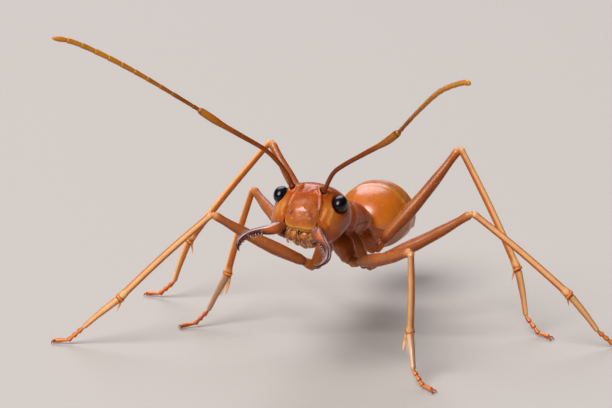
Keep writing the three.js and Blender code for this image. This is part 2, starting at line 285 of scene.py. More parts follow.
def tube(rings, **paint):
    """A closed surface through rings of points. Paint is one value, or one for each ring or each point."""
    count, sides = rings.shape[:2]
    points = np.vstack([rings.reshape(-1, 3), rings[0].mean(0)[None], rings[-1].mean(0)[None]])
    first, last = count * sides, count * sides + 1
    faces, uv = [], []
    for i in range(count - 1):
        low, high = i / (count - 1), (i + 1) / (count - 1)
        for j in range(sides):
            k = (j + 1) % sides
            left, right = j / sides, (j + 1) / sides
            faces.append((i * sides + j, i * sides + k, (i + 1) * sides + k, (i + 1) * sides + j))
            uv.append(((left, low), (right, low), (right, high), (left, high)))
    for j in range(sides):
        k = (j + 1) % sides
        left, right = j / sides, (j + 1) / sides
        faces += [(first, k, j), (last, first - sides + j, first - sides + k)]
        uv += [((left, 0), (right, 0), (left, 0)), ((left, 1), (left, 1), (right, 1))]
    spread = {}
    for name, value in paint.items():
        value = vec(value)
        own = np.ndim(PAINTS[name])
        if value.ndim == 1 + own and len(value) == count:
            value = np.repeat(value[:, None], sides, 1)
        if value.ndim == 2 + own:
            ends = np.stack([value[0].mean(0), value[-1].mean(0)])
            value = np.concatenate([value.reshape(-1, *value.shape[2:]), ends])
        spread[name] = value
    return Form(points, faces, uv, **spread)


def sweep(path, radius, sides=16, across=Z, flat=1.0, **paint):
    """A tube along a path. flat is its thickness to the side as a share of its width along across."""
    path = vec(path)
    heading = unit(np.gradient(path, axis=0))
    side = unit(np.cross(heading, across))
    over = np.cross(side, heading)
    angle = ring_angles(sides)[None, :, None]
    radius = np.broadcast_to(vec(radius), (len(path),))[:, None, None]
    ring = np.cos(angle) * side[:, None] * flat + np.sin(angle) * over[:, None]
    return tube(path[:, None] + radius * ring, lie=heading, **paint)


def line(start, end, count):
    return vec(start) + (vec(end) - vec(start)) * shares(count)[:, None]


def bead(centre, half, rows, sides, **paint):
    """A round body with its half sizes along X, Y and Z."""
    down = ((np.arange(rows) + 0.5) * math.pi / rows)[:, None]
    angle = ring_angles(sides)
    level = np.repeat(np.cos(down), sides, 1)
    ball = np.stack([np.sin(down) * np.cos(angle), np.sin(down) * np.sin(angle), level], -1)
    return tube(vec(centre) + ball * vec(half), **paint)


def fullness(spec, t):
    """The share of its full girth that a shell has at t along its spine: it rounds off at both ends."""
    along = np.clip(2 * t - 1, -1, 1)
    power = np.where(along < 0, *spec["blunt"])
    return np.clip(1 - np.abs(along) ** power, 0, 1) ** (1 / power)


def shell_rings(spec, t, angle):
    """Rings of the CAD shell's surface at t along its spine, front to back, and the spine's heading there."""
    heading = unit(spline(spec["spine"], t + NEAR) - spline(spec["spine"], t - NEAR))
    upright = np.cross(X, heading)
    full = fullness(spec, t)
    aside = np.cos(angle) * (full * spline(spec["width"], t))[:, None]
    lift = np.where(np.sin(angle) > 0, spline(spec["rise"], t)[:, None], spline(spec["depth"], t)[:, None])
    lift = lift * np.sin(angle) * full[:, None]
    spine = spline(spec["spine"], t)[:, None]
    return spine + aside[..., None] * X + lift[..., None] * upright[:, None], heading


def outward(rings):
    """The outward direction at each point of rings that surround a spine."""
    across = np.roll(rings, -1, 1) - np.roll(rings, 1, 1)
    normal = unit(np.cross(across, np.gradient(rings, axis=0)))
    middle = rings.mean(1, keepdims=True)
    facing = np.sign(((rings - middle) * normal).sum(-1, keepdims=True).mean(1, keepdims=True))
    return normal * np.where(facing == 0, 1, facing)


def blended(marks, strengths):
    """The lift, dark and glow that marks on a shell give together, each mark by its three strengths."""
    return [sum(mark * strengths[name][k] for name, mark in marks.items()) for k in range(3)]


# ---- Materials ----


def tint(code):
    """A colour written as RRGGBB, in the linear values that shaders take."""
    parts = [int(code[i : i + 2], 16) / 255 for i in (0, 2, 4)]
    return tuple(p / 12.92 if p <= 0.04045 else ((p + 0.055) / 1.055) ** 2.4 for p in parts) + (1.0,)


def new_group(name, kind, inputs, outputs):
    """A node group with its input and output nodes. Each socket has a kind, and can have a value after it."""
    group = bpy.data.node_groups.new(name, f"{kind}NodeTree")
    for way, sockets in (("INPUT", inputs), ("OUTPUT", outputs)):
        for label, (socket_kind, *value) in sockets.items():
            socket = group.interface.new_socket(label, in_out=way, socket_type=f"NodeSocket{socket_kind}")
            if value:
                socket.default_value = value[0]
    return group, group.nodes.new("NodeGroupInput"), group.nodes.new("NodeGroupOutput")


def feed(tree, made, inputs):
    """Gives a node's inputs, by name or by number, a value or another node's output each."""
    for key, value in inputs.items():
        if isinstance(value, bpy.types.NodeSocket):
            tree.links.new(value, made.inputs[key])
        else:
            made.inputs[key].default_value = value


def node(tree, kind, inputs=None, **settings):
    made = tree.nodes.new(kind)
    for name, value in settings.items():
        setattr(made, name, value)
    feed(tree, made, inputs or {})
    return made


def mixed(tree, share, first, second):
    """A mix of two colours. On this node the colours are inputs 6 and 7 and output 2."""
    return node(tree, "ShaderNodeMix", {0: share, 6: first, 7: second}, data_type="RGBA").outputs[2]


def math_of(tree, operation, first, second, clamp=False):
    made = node(tree, "ShaderNodeMath", {0: first, 1: second}, operation=operation, use_clamp=clamp)
    return made.outputs[0]


def object_place(tree):
    return node(tree, "ShaderNodeTexCoord").outputs["Object"]


def cloud_of(tree, scale, detail):
    """A soft noise in the object's own space, from 0 to 1."""
    inputs = {"Vector": object_place(tree), "Scale": scale, "Detail": detail}
    return node(tree, "ShaderNodeTexNoise", inputs).outputs["Fac"]


def cuticle_colour_group():
    """Cuticle colour: darker where thick or seamed and with painted shade, amber where thin and with painted
    light, and mottled.
    """
    inputs = {
        "Base": ("Color", tint("C4652C")),
        "Deep": ("Color", tint("5A1E0E")),
        "Amber": ("Color", tint("E9973A")),
        "Mottle": ("Float", 0.25),
        "Patch Size": ("Float", 4000.0),
    }
    group, given, out = new_group("cuticle colour", "Shader", inputs, {"Colour": ("Color",)})
    dark = node(group, "ShaderNodeAttribute", attribute_name="dark").outputs["Fac"]
    glow = node(group, "ShaderNodeAttribute", attribute_name="glow").outputs["Fac"]
    patches = cloud_of(group, given.outputs["Patch Size"], 4.0)
    uneven = node(group, "ShaderNodeMapRange", {"Value": patches, "From Min": 0.35, "From Max": 0.7})
    mottling = math_of(group, "MULTIPLY", uneven.outputs[0], given.outputs["Mottle"])
    shade = math_of(group, "ADD", dark, mottling, clamp=True)
    amber = mixed(group, glow, given.outputs["Base"], given.outputs["Amber"])
    feed(group, out, {"Colour": mixed(group, shade, amber, given.outputs["Deep"])})
    return group


def cuticle_grain_group():
    """Cuticle relief: a net of tiny cells over faint waves, as a height, and an uneven gloss."""
    inputs = {
        "Cell Size": ("Float", 30000.0),
        "Cells": ("Float", 0.5),
        "Wave Size": ("Float", 7000.0),
        "Waves": ("Float", 1.0),
        "Roughness": ("Float", 0.3),
        "Uneven": ("Float", 0.12),
    }
    outputs = {"Height": ("Float",), "Roughness": ("Float",)}
    group, given, out = new_group("cuticle grain", "Shader", inputs, outputs)
    spot = {"Vector": object_place(group), "Scale": given.outputs["Cell Size"]}
    cells = node(group, "ShaderNodeTexVoronoi", spot, feature="DISTANCE_TO_EDGE").outputs["Distance"]
    net = node(group, "ShaderNodeMapRange", {"Value": cells, "From Min": 0.0, "From Max": 0.25}).outputs[0]
    waves = cloud_of(group, given.outputs["Wave Size"], 3.0)
    fine = math_of(group, "MULTIPLY", net, given.outputs["Cells"])
    broad = math_of(group, "MULTIPLY", waves, given.outputs["Waves"])
    swing = math_of(group, "MULTIPLY", math_of(group, "SUBTRACT", waves, 0.5), given.outputs["Uneven"])
    feed(group, out, {
        "Height": math_of(group, "ADD", fine, broad),
        "Roughness": math_of(group, "ADD", given.outputs["Roughness"], swing, clamp=True),
    })
    return group


CUTICLE_COLOUR = cuticle_colour_group()
CUTICLE_GRAIN = cuticle_grain_group()
CUTICLE_IOR, LENS_IOR = 1.5, 1.42
CUTICLE_DEPTH = (1.0, 0.42, 0.16)  # how deep red, green and blue light go in shell, compared with each other
HORN_DEPTH = (1.0, 0.6, 0.3)  # the same in a bristle
HORN_REACH = 0.03  # depth that light goes in a bristle, in mm


def new_material(name):
    """A material, its node tree and its shader."""
    made = bpy.data.materials.new(name)
    made.use_nodes = True
    return made, made.node_tree, made.node_tree.nodes["Principled BSDF"]


def cuticle(name, base, deep, amber, mottle=0.25, rough=0.24, relief=0.0015, glow=0.4, reach=0.05, coat=0.25,
            clear=0.0, shine=0.5, waves=1.0):
    """Glossy, slightly see-through shell. relief is the bump's height and reach the light's depth, in mm."""
    made, tree, shader = new_material(name)
    colours = {"Base": tint(base), "Deep": tint(deep), "Amber": tint(amber), "Mottle": mottle}
    colour = node(tree, "ShaderNodeGroup", colours, node_tree=CUTICLE_COLOUR)
    grain = node(tree, "ShaderNodeGroup", {"Roughness": rough, "Waves": waves}, node_tree=CUTICLE_GRAIN)
    bump = node(tree, "ShaderNodeBump", {"Height": grain.outputs["Height"], "Distance": relief * MM})
    feed(tree, shader, {
        "Base Color": colour.outputs["Colour"],
        "Roughness": grain.outputs["Roughness"],
        "Normal": bump.outputs["Normal"],
        "IOR": CUTICLE_IOR,
        "Specular IOR Level": shine,
        "Subsurface Weight": glow,
        "Subsurface Radius": CUTICLE_DEPTH,
        "Subsurface Scale": reach * MM,
        "Transmission Weight": clear,
        "Coat Weight": coat,
        "Coat Roughness": 0.16,
    })
    return made


def eye_lens():
    """Black, polished lens shell with a faintly uneven gloss."""
    made, tree, shader = new_material("eye lens")
    cloud = cloud_of(tree, 9000.0, 2.0)
    gloss = node(tree, "ShaderNodeMapRange", {"Value": cloud, "To Min": 0.18, "To Max": 0.28}).outputs[0]
    colour = mixed(tree, cloud, tint("040306"), tint("0C0A10"))
    feed(tree, shader, {"Base Color": colour, "Roughness": gloss, "IOR": LENS_IOR})
    return made


def bristle_horn(name, root, tip):
    """Fine, pale, slightly see-through hair."""
    made, tree, shader = new_material(name)
    feed(tree, shader, {
        "Base Color": mixed(tree, cloud_of(tree, 20000.0, 1.0), tint(root), tint(tip)),
        "Roughness": 0.4,
        "Subsurface Weight": 0.5,
        "Subsurface Radius": HORN_DEPTH,
        "Subsurface Scale": HORN_REACH * MM,
    })
    return made


CUTICLES = {
    # The plain, the deep and the amber colour, and how the shell differs from plain cuticle.
    "head_shell": ("B04E0A 621400 DE9444", dict(mottle=0.35, relief=0.002, glow=0.45, reach=0.25, coat=0.1,
                                                shine=0.34, waves=8.0)),
    "plate_shell": ("B65E20 561204 E08A18", dict(mottle=0.35, rough=0.3, relief=0.002, glow=0.45, reach=0.25,
                                                 coat=0.7, waves=16.0)),
    "trunk_shell": ("B44A06 541204 E07E10", dict(mottle=0.22, rough=0.3, glow=0.45, reach=0.25, coat=0.0,
                                                 shine=0.3)),
    "gaster_shell": ("B4540C 541602 E88E20", dict(mottle=0.2, rough=0.33, glow=0.5, reach=0.3, coat=0.5)),
    "leg_shell": ("BC5C04 6A1E00 FBC080", dict(mottle=0.12, coat=0.0, clear=0.1, shine=0.28)),
    "foot_shell": ("C04E06 5C1803 EE9430", dict(mottle=0.2, rough=0.32, reach=0.06, coat=0.1, shine=0.4)),
    "feeler_shell": ("883A00 361202 C07C1C", dict(mottle=0.2, rough=0.26, coat=0.0, shine=0.3)),
    "thin_shell": ("A06A44 8A3C10 D2B290", dict(mottle=0.08, glow=0.5)),
    "jaw_shell": ("7C3C2E 14060A DE7210", dict(mottle=0.2, rough=0.27, glow=0.3, reach=0.1, coat=0.9,
                                               shine=0.6)),
    "lip_shell": ("A4480E 3E1004 E08A22", dict(reach=0.08)),
}
MATERIALS = {
    name: cuticle(name.replace("_", " "), *colours.split(), **look)
    for name, (colours, look) in CUTICLES.items()
}
MATERIALS["eye_lens"] = eye_lens()
PALE_HAIR = bristle_horn("pale bristle", "DC9C58", "F4D6A4")

# ---- Pieces ----

SKINS = {}  # the forms that each coat of bristles grows on, by the coat's name


def new_object(name, data):
    made = bpy.data.objects.new(name, data)
    bpy.context.scene.collection.objects.link(made)
    return made


def mesh_of(name, form):
    """A form as a mesh with its map, its paints and its faces turned outwards."""
    mesh = bpy.data.meshes.new(name)
    mesh.from_pydata(place(form.points).tolist(), [], form.faces)
    layer = mesh.uv_layers.new(name="skin")
    layer.data.foreach_set("uv", np.concatenate([np.ravel(corner) for corner in form.uv]))
    for paint in ("dark", "glow", "hair"):
        painted = mesh.attributes.new(paint, "FLOAT", "POINT")
        painted.data.foreach_set("value", np.clip(getattr(form, paint), 0, 1))
    lie = mesh.attributes.new("lie", "FLOAT_VECTOR", "POINT")
    lie.data.foreach_set("vector", form.lie.ravel())
    work = bmesh.new()
    work.from_mesh(mesh)
    bmesh.ops.recalc_face_normals(work, faces=work.faces)
    work.to_mesh(mesh)
    work.free()
    mesh.polygons.foreach_set("use_smooth", [True] * len(mesh.polygons))
    return mesh


def stand(name, mesh, nodes=()):
    """A mesh as a piece of the ant that rides on its one body and stands for CAD nodes."""
    made = new_object(name, mesh)
    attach(made, "root")
    if nodes:
        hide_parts(*nodes)
    return made


def piece(name, form, material, coat=None, solid=True):
    """A form as a piece. solid says that it stands for the CAD node with its name."""
    mesh = mesh_of(name, form)
    mesh.materials.append(MATERIALS[material])
    if coat:
        SKINS.setdefault(coat, []).append(form)
    return stand(name, mesh, [name] if solid else [])


# ---- Coats of bristles ----

LAYERS = ("Down", "Bristle")
LAYER_INPUTS = {"Density": "Float", "Length": "Float", "Thickness": "Float", "Lean": "Float", "Seed": "Int"}
LAYER_UNITS = (1 / MM**2, MM, MM, 1)  # of the first four
BRISTLE_SIDES, BRISTLE_STEPS = 3, 4
BRISTLE_CURL = 0.3  # how far its tip bends along the lie, as a share of its length
BRISTLE_STRAY = 0.22  # how far its direction can stray
BRISTLE_SIZES = (0.6, 1.15)  # the least and the greatest size of one, as a share of the layer's
PATCH = 0.003  # width of a bristle's place on the map


def coat_tree():
    """Two layers of bent, tapered bristles over a skin: a fine down along it, and longer single bristles."""
    inputs = {f"{layer} {label}": (kind,) for layer in LAYERS for label, kind in LAYER_INPUTS.items()}
    inputs = {"Skin": ("Geometry",), **inputs, "Horn": ("Material",)}
    tree, given, out = new_group("coat of bristles", "Geometry", inputs, {"Coat": ("Geometry",)})

    def painted(name, kind="FLOAT_VECTOR"):
        return node(tree, "GeometryNodeInputNamedAttribute", {"Name": name}, data_type=kind).outputs[0]

    def mapped(geometry, name, where):
        stored = {"Geometry": geometry, "Name": name, "Value": where}
        kind = "GeometryNodeStoreNamedAttribute"
        return node(tree, kind, stored, data_type="FLOAT2", domain="CORNER").outputs[0]

    def added(first, second, operation="ADD"):
        return node(tree, "ShaderNodeVectorMath", {0: first, 1: second}, operation=operation).outputs[0]

    def scaled(vector, scale):
        return node(tree, "ShaderNodeVectorMath", {0: vector, "Scale": scale}, operation="SCALE").outputs[0]

    share, lie = painted("hair", "FLOAT"), painted("lie")
    join = tree.nodes.new("GeometryNodeJoinGeometry")
    for layer in LAYERS:
        value = {label: given.outputs[f"{layer} {label}"] for label in LAYER_INPUTS}
        density = math_of(tree, "MULTIPLY", share, value["Density"])
        roots = node(tree, "GeometryNodeDistributePointsOnFaces",
                     {"Mesh": given.outputs["Skin"], "Density": density, "Seed": value["Seed"]})
        rod = node(tree, "GeometryNodeMeshCone", {
            "Vertices": BRISTLE_SIDES, "Side Segments": BRISTLE_STEPS, "Radius Top": 0.0,
            "Radius Bottom": math_of(tree, "DIVIDE", value["Thickness"], 2.0), "Depth": value["Length"],
        }, fill_type="NONE")
        rod_mesh = mapped(rod.outputs["Mesh"], "strand", rod.outputs["UV Map"])
        where = tree.nodes.new("GeometryNodeInputPosition").outputs[0]
        height = node(tree, "ShaderNodeSeparateXYZ", {0: where}).outputs["Z"]
        bend = math_of(tree, "DIVIDE", math_of(tree, "MULTIPLY", height, height), value["Length"])
        offset = node(tree, "ShaderNodeCombineXYZ", {"X": math_of(tree, "MULTIPLY", bend, BRISTLE_CURL)})
        bent = node(tree, "GeometryNodeSetPosition", {"Geometry": rod_mesh, "Offset": offset.outputs[0]})
        upright = math_of(tree, "SUBTRACT", 1.0, value["Lean"])
        strays = {0: (-BRISTLE_STRAY,) * 3, 1: (BRISTLE_STRAY,) * 3, "Seed": value["Seed"]}
        stray = node(tree, "FunctionNodeRandomValue", strays, data_type="FLOAT_VECTOR").outputs[0]
        heading = added(scaled(roots.outputs["Normal"], upright), scaled(lie, value["Lean"]))
        align = "FunctionNodeAlignRotationToVector"
        raised = node(tree, align, {"Vector": added(heading, stray)}, axis="Z").outputs[0]
        combed = node(tree, align, {"Rotation": raised, "Vector": lie}, axis="X", pivot_axis="Z").outputs[0]
        sizes = {2: BRISTLE_SIZES[0], 3: BRISTLE_SIZES[1], "Seed": value["Seed"]}
        size = node(tree, "FunctionNodeRandomValue", sizes, data_type="FLOAT").outputs[1]
        grown = node(tree, "GeometryNodeInstanceOnPoints", {
            "Points": roots.outputs["Points"], "Instance": bent.outputs[0], "Rotation": combed, "Scale": size,
        })
        tree.links.new(grown.outputs[0], join.inputs[0])
    real = node(tree, "GeometryNodeRealizeInstances", {0: join.outputs[0]}).outputs[0]
    spot = added(scaled(painted("skin"), 1 - 2 * PATCH), (PATCH, PATCH, 0))
    spread = scaled(added(painted("strand"), (0.5, 0.5, 0), "SUBTRACT"), PATCH)
    smooth = node(tree, "GeometryNodeSetShadeSmooth", {0: mapped(real, "OFBake", added(spot, spread))})
    dressed = {"Geometry": smooth.outputs[0], "Material": given.outputs["Horn"]}
    feed(tree, out, {0: node(tree, "GeometryNodeSetMaterial", dressed).outputs[0]})
    return tree


COATS = {
    # For the down and for the bristles: how many on a square mm, length and thickness in mm, and lean.
    "head": ((200, 0.04, 0.0045, 0.8), (9, 0.1, 0.007, 0.35)),
    "mouth": ((60, 0.04, 0.005, 0.6), (150, 0.13, 0.011, 0.5)),
    "jaw": ((50, 0.03, 0.0045, 0.7), (130, 0.13, 0.011, 0.45)),
    "feeler": ((140, 0.028, 0.0036, 0.85), (8, 0.045, 0.0045, 0.4)),
    "trunk": ((120, 0.05, 0.0045, 0.84), (7, 0.13, 0.007, 0.3)),
    "gaster": ((260, 0.06, 0.005, 0.88), (8, 0.14, 0.007, 0.35)),
    "leg": ((170, 0.045, 0.0042, 0.82), (14, 0.08, 0.006, 0.45)),
    "foot": ((260, 0.03, 0.0042, 0.8), (100, 0.045, 0.0055, 0.6)),
}


def coats():
    """Grows each coat on the joined forms of its skin, as a piece of plain mesh."""
    tree = coat_tree()
    inputs = {item.name: item.identifier for item in tree.interface.items_tree if item.in_out == "INPUT"}
    for number, (name, forms) in enumerate(SKINS.items()):
        skin = new_object("skin", mesh_of("skin", joined(forms)))
        made = skin.modifiers.new("coat", "NODES")
        made.node_group = tree
        made[inputs["Horn"]] = PALE_HAIR
        for i, (layer, figures) in enumerate(zip(LAYERS, COATS[name.split("_")[0]])):
            values = [figure * one for figure, one in zip(figures, LAYER_UNITS)] + [10 * number + i]
            for label, value in zip(LAYER_INPUTS, values):
                made[inputs[f"{layer} {label}"]] = value
        evaluated = skin.evaluated_get(bpy.context.evaluated_depsgraph_get())
        mesh = bpy.data.meshes.new_from_object(evaluated)
        mesh.name = f"coat_{name}"
        stand(f"coat_{name}", mesh)
        bpy.data.objects.remove(skin)


# ---- Camera, floor and light ----

LOOK_AT = vec((-0.15, 0.0, 3.95))
LOOK_AZIMUTH, LOOK_ELEVATION = 15, 16
LOOK_DISTANCE = 90
FRAME_WIDTH = 13.6  # of the view at the point looked at
SENSOR = 36.0
FLOOR_HALF = 1.2  # in metres
LIGHTS = (
    # name, plan angle and rise of the direction it stands in, distance, width, watts, colour
    ("key", (-112, 50), 600, 420, 5.2, "FCFAFF"),
    ("back", (110, 42), 600, 520, 2.4, "FAF6FF"),
)
BACKDROP, DIM = "BEB5AC", "363433"  # what the camera sees behind, and what lights the ant from all round


def aimed(name, data, direction, distance):
    """A camera or a light that stands in a direction from the point looked at, and faces it."""
    made = new_object(name, data)
    made.location = Vector(place(LOOK_AT + bearing(direction) * distance))
    made.rotation_euler = (Vector(place(LOOK_AT)) - made.location).to_track_quat("-Z", "Y").to_euler()
    return made


def camera():
    data = bpy.data.cameras.new("camera")
    data.sensor_width = SENSOR
    data.lens = SENSOR * LOOK_DISTANCE / FRAME_WIDTH
    data.clip_start, data.clip_end = 0.001, 10
    direction = (LOOK_AZIMUTH - 90, LOOK_ELEVATION)
    bpy.context.scene.camera = aimed("camera", data, direction, LOOK_DISTANCE)


def floor():
    corners = [(x * FLOOR_HALF, y * FLOOR_HALF, 0) for x, y in ((-1, -1), (1, -1), (1, 1), (-1, 1))]
    mesh = bpy.data.meshes.new("floor")
    mesh.from_pydata(corners, [], [(0, 1, 2, 3)])
    material, tree, shader = new_material("pale floor")
    feed(tree, shader, {"Base Color": tint("B3ADA3"), "Roughness": 0.7})
    mesh.materials.append(material)
    new_object("floor", mesh)


def lights():
    for name, aim, distance, width, watts, colour in LIGHTS:
        data = bpy.data.lights.new(name, "AREA")
        data.shape, data.size = "DISK", width * MM
        data.energy, data.color = watts, tint(colour)[:3]
        aimed(name, data, aim, distance).visible_camera = False
    world = bpy.data.worlds.new("studio")
    world.use_nodes = True
    tree = world.node_tree
    seen = tree.nodes.new("ShaderNodeLightPath").outputs["Is Camera Ray"]
    feed(tree, tree.nodes["Background"], {"Color": mixed(tree, seen, tint(DIM), tint(BACKDROP))})
    bpy.context.scene.world = world
    bpy.context.scene.view_settings.view_transform = "Standard"


camera()
floor()
lights()

# ---- Head ----

HEAD_RINGS, HEAD_SIDES = 220, 260
HEAD_ENDS = (0.012, 0.985)  # the rings leave the rest at the head's front and back to its end caps
CLYPEUS = {
    "middle": -0.6,
    "half_width": 0.39,
    "length": (0.25, 0.23),  # behind the middle and ahead of it
    "power": (2.0, 3.0),  # of the outline's curve there
    "bulge": 0.05,
    "rim": 0.06,
    "droop": 0.09,
    "inside": 0.08,
    "rows": (36, 8),  # outside and inside
    "sides": 140,
}
SOCKETS = {1: (0.3, -0.05), -1: (-0.4, -0.02)}  # each feeler's, to the side and back
CARINA = (
    (0.36, -0.5), (0.335, -0.32), (0.275, -0.17), (0.215, -0.06), (0.2, 0.04), (0.26, 0.16), (0.36, 0.3),
)
CHEEK_RIBS = (((0.62, -0.3), (0.63, -0.42), (0.6, -0.6)), ((0.5, -0.4), (0.5, -0.52), (0.47, -0.66)))
ROUTE_STEPS = 60  # stations on a line over the face
FACE_STEPS = 400  # stations down the middle of the face
# Rows and sides of the smaller meshes of the head.
EYE_GRID, LOBE_GRID, PALP_GRID, DENTICLE_GRID, LABRUM_GRID = (56, 72), (18, 28), (9, 10), (8, 8), (14, 41)
HEAD_MARKS = {
    # How far each mark stands out in mm, and how much it darkens and lights the shell.
    "bed": (-0.05, 0, 0),
    # The seam: a dark suture line round the clypeus, deepened with painted shade in its crease.
    "seam": (0, 0.45, 0),
    "ridge": (0.034, 0, 0.2),
    # Painted shade along the foot of each brow ridge.
    "ridge_foot": (0, 0.1, 0),
    # The ditch is sunk, and darkened with painted shade.
    "ditch": (-0.012, 0.22, 0),
    # The feeler pits are sunk, and darkened with painted shade.
    "pit": (-0.05, 0.6, 0),
    "torulus": (0.034, 0, 0.35),
    "lobe": (0.05, 0, 0),
    "ribs": (0.014, 0, 0.3),
    # Painted glow of light shining through the cheeks.
    "cheek": (0, 0, 0.6),
    "rim": (0.012, 0, 0),
    "rim_shade": (0, 0.4, 0),
    "orbit": (-0.075, 0, 0),
    "median": (-0.01, 0, 0),
    "hinge": (0.05, 0.25, 0),
    # Painted shade in the mouth under the clypeus.
    "mouth": (0, 0.6, 0),
    # Painted shade on the underside.
    "underside": (0, 0.6, 0),
    "nape": (0, 0.45, 0),
}


def clypeus_reach(x, y):
    """How far out a place of the face lies from the middle of the clypeus: 1 on its edge."""
    back = y > CLYPEUS["middle"]
    power = np.where(back, *CLYPEUS["power"])
    across = np.abs(x) / CLYPEUS["half_width"]
    along = np.abs(y - CLYPEUS["middle"]) / np.where(back, *CLYPEUS["length"])
    return (across**power + along**power) ** (1 / power)


def distance_to(x, y, points):
    """The distance in the plane of the face from places to a line through points, and the share along it."""
    route = spline(points, shares(ROUTE_STEPS))
    gap = np.hypot(x[..., None] - route[:, 0], y[..., None] - route[:, 1])
    return gap.min(-1), gap.argmin(-1) / (len(route) - 1)


def eye_reach(points):
    """How far out points lie from the middle of the nearer eye, in half sizes of the eye."""
    mirrored = np.concatenate([np.abs(points[..., :1]), points[..., 1:]], -1)
    return np.linalg.norm((mirrored - vec(EYE["at"])) / vec(EYE["half"]), axis=-1)


def face_height(x, y):
    """The height of the bare head surface over a place of the face, in the head's own frame."""
    at = shares(FACE_STEPS)
    t = np.interp(y, spline(HEAD["spine"], at)[:, 1], at)
    full = fullness(HEAD, t)
    half = np.maximum(full * spline(HEAD["width"], t), 1e-6)
    return full * spline(HEAD["rise"], t) * np.sqrt(np.clip(1 - (x / half) ** 2, 0, 1))


def head_capsule():
    """The skull: brow ridges, feeler sockets, cheek ribs, eye rims, the bed of the clypeus, and the mouth."""
    rings, _ = shell_rings(HEAD, eased(HEAD_RINGS, *HEAD_ENDS), ring_angles(HEAD_SIDES))
    x, y, z = np.moveaxis(rings, -1, 0)
    side = np.abs(x)
    face = step(0.0, 0.2, z)
    reach = clypeus_reach(x, y)
    verge = 0.9 + 0.14 * step(-0.62, -0.74, y)
    gap, share = distance_to(side, y, CARINA)
    eye = eye_reach(rings)
    gape = step(0.46, 0.36, side) * step(0.3, 0.24, z) * step(-0.5, -0.68, y)
    under_lip = step(0.4, 0.34, side) * step(0.98, 1.04, reach) * step(-0.7, -0.8, y) * face
    mouth = np.maximum(gape, under_lip)
    marks = {
        "bed": step(verge, verge - 0.08, reach) * face,
        "seam": bell(reach - 1.0, 0.02) * face,
        "ridge": bell(gap, 0.032) * np.sin(math.pi * np.clip(share, 0.02, 0.98)) ** 0.6 * face,
        "ridge_foot": bell(gap - 0.04, 0.03) * face,
        "ditch": bell(gap - 0.055, 0.03) * (side > 0.3) * step(0.55, 0.3, share) * face,
        "ribs": sum(bell(distance_to(side, y, rib)[0], 0.03) * step(0.1, 0.3, z) for rib in CHEEK_RIBS),
        "cheek": bell(np.hypot(side - 0.58, (y + 0.42) * 0.8), 0.17) * face,
        "rim": bell(eye - 1.16, 0.07),
        "rim_shade": bell(eye - 1.1, 0.08),
        "orbit": 0.6 * step(1.3, 1.1, eye) + 0.4 * step(0.97, 0.8, eye),
        "median": bell(x, 0.018) * step(-0.2, 0.0, y) * step(0.75, 0.45, y) * face,
        "hinge": bell(np.linalg.norm(np.stack([side - 0.55, y + 0.7, z - 0.24], -1), axis=-1), 0.08),
        "mouth": mouth,
        "underside": step(0.25, -0.3, z),
        "nape": step(0.35, 0.9, y),
        "pit": 0,
        "torulus": 0,
        "lobe": 0,
    }
    for hand, (aside, back) in SOCKETS.items():
        gap = np.hypot(x - aside, y - back)
        marks["pit"] += bell(gap, 0.055) * face
        marks["torulus"] += bell(gap - 0.09, 0.03) * face
        marks["lobe"] += bell(np.hypot(x - aside + hand * 0.135, (y - back) * 0.8), 0.075) * face
    # dark holds painted shade in the seam, ditch, pits, mouth and underside; glow holds the painted glow
    # through the cheeks.
    lift, dark, glow = blended(marks, HEAD_MARKS)
    hair = (0.15 + 0.25 * step(0.25, -0.2, z)) * (1 - mouth)
    rings = rings + outward(rings) * lift[..., None]
    rings[..., 1] += 0.3 * mouth
    rings[..., 2] += 0.09 * step(-0.4, -0.8, y) * step(0.0, -0.25, z)
    form = tube(rings, dark=dark, glow=glow, hair=hair, lie=Y)
    return piece("head", form.moved(on_head), "head_shell", "head")


def clypeus():
    """The shield over the mouth, with a thin amber lip along its front."""
    angle = ring_angles(CLYPEUS["sides"])
    aside, along = np.cos(angle), np.sin(angle)
    power = 2 / np.where(along > 0, *CLYPEUS["power"])
    edge_x = CLYPEUS["half_width"] * np.sign(aside) * np.abs(aside) ** power
    edge_y = np.where(along > 0, *CLYPEUS["length"]) * np.sign(along) * np.abs(along) ** power
    front = step(0.0, -0.7, along)

    def spot(out, size):
        return out * edge_x * size, CLYPEUS["middle"] + out * edge_y * size

    out = np.append(np.linspace(0.02, 0.975, CLYPEUS["rows"][0] - 2), (0.98, 1.0))[:, None]
    x, y = spot(out, 0.98)
    lip = step(0.8, 1.0, out) * front
    pits = sum(bell(np.hypot(x - hand * 0.24, y + 0.68), 0.05) for hand in SIDES.values())
    keel = bell(x, 0.05) * bell(y + 0.6, 0.2)
    swell = step(-0.48, -0.76, y) * step(1.0, 0.8, out)
    tuck = step(0.98, 1.0, out) * (1 - front)
    top = face_height(x, y) + CLYPEUS["bulge"] * (1 - out**2) ** 2 + 0.002
    top += 0.006 * keel + 0.02 * swell - 0.014 * pits - 0.03 * tuck - CLYPEUS["droop"] * lip
    upper = np.stack([x, y - CLYPEUS["rim"] * lip, top], -1)
    glow = step(0.9, 0.99, out) * front + 0.15 * bell(y + 0.7, 0.1)
    # The pits are darkened with painted shade; the back edge darkens along the seam.
    dark = 0.5 * pits + 0.15 * step(0.9, 1.0, out) * (1 - front)

    out = np.linspace(1, 0.02, CLYPEUS["rows"][1])[:, None]
    x, y = spot(out, 0.95)
    lip = step(0.7, 1.0, out) * front
    low = face_height(x, y) - CLYPEUS["inside"] * step(1.02, 0.75, out) - 0.012 - 0.08 * lip
    lower = np.stack([x, y - 0.6 * CLYPEUS["rim"] * lip, low], -1)
    glow = np.concatenate([glow, front * np.ones_like(x)])
    dark = np.concatenate([dark, np.zeros_like(x)])
    form = tube(np.concatenate([upper, lower]), dark=dark, glow=glow, hair=0.5, lie=-Y)
    return piece("clypeus", form.moved(on_head), "plate_shell", "head")


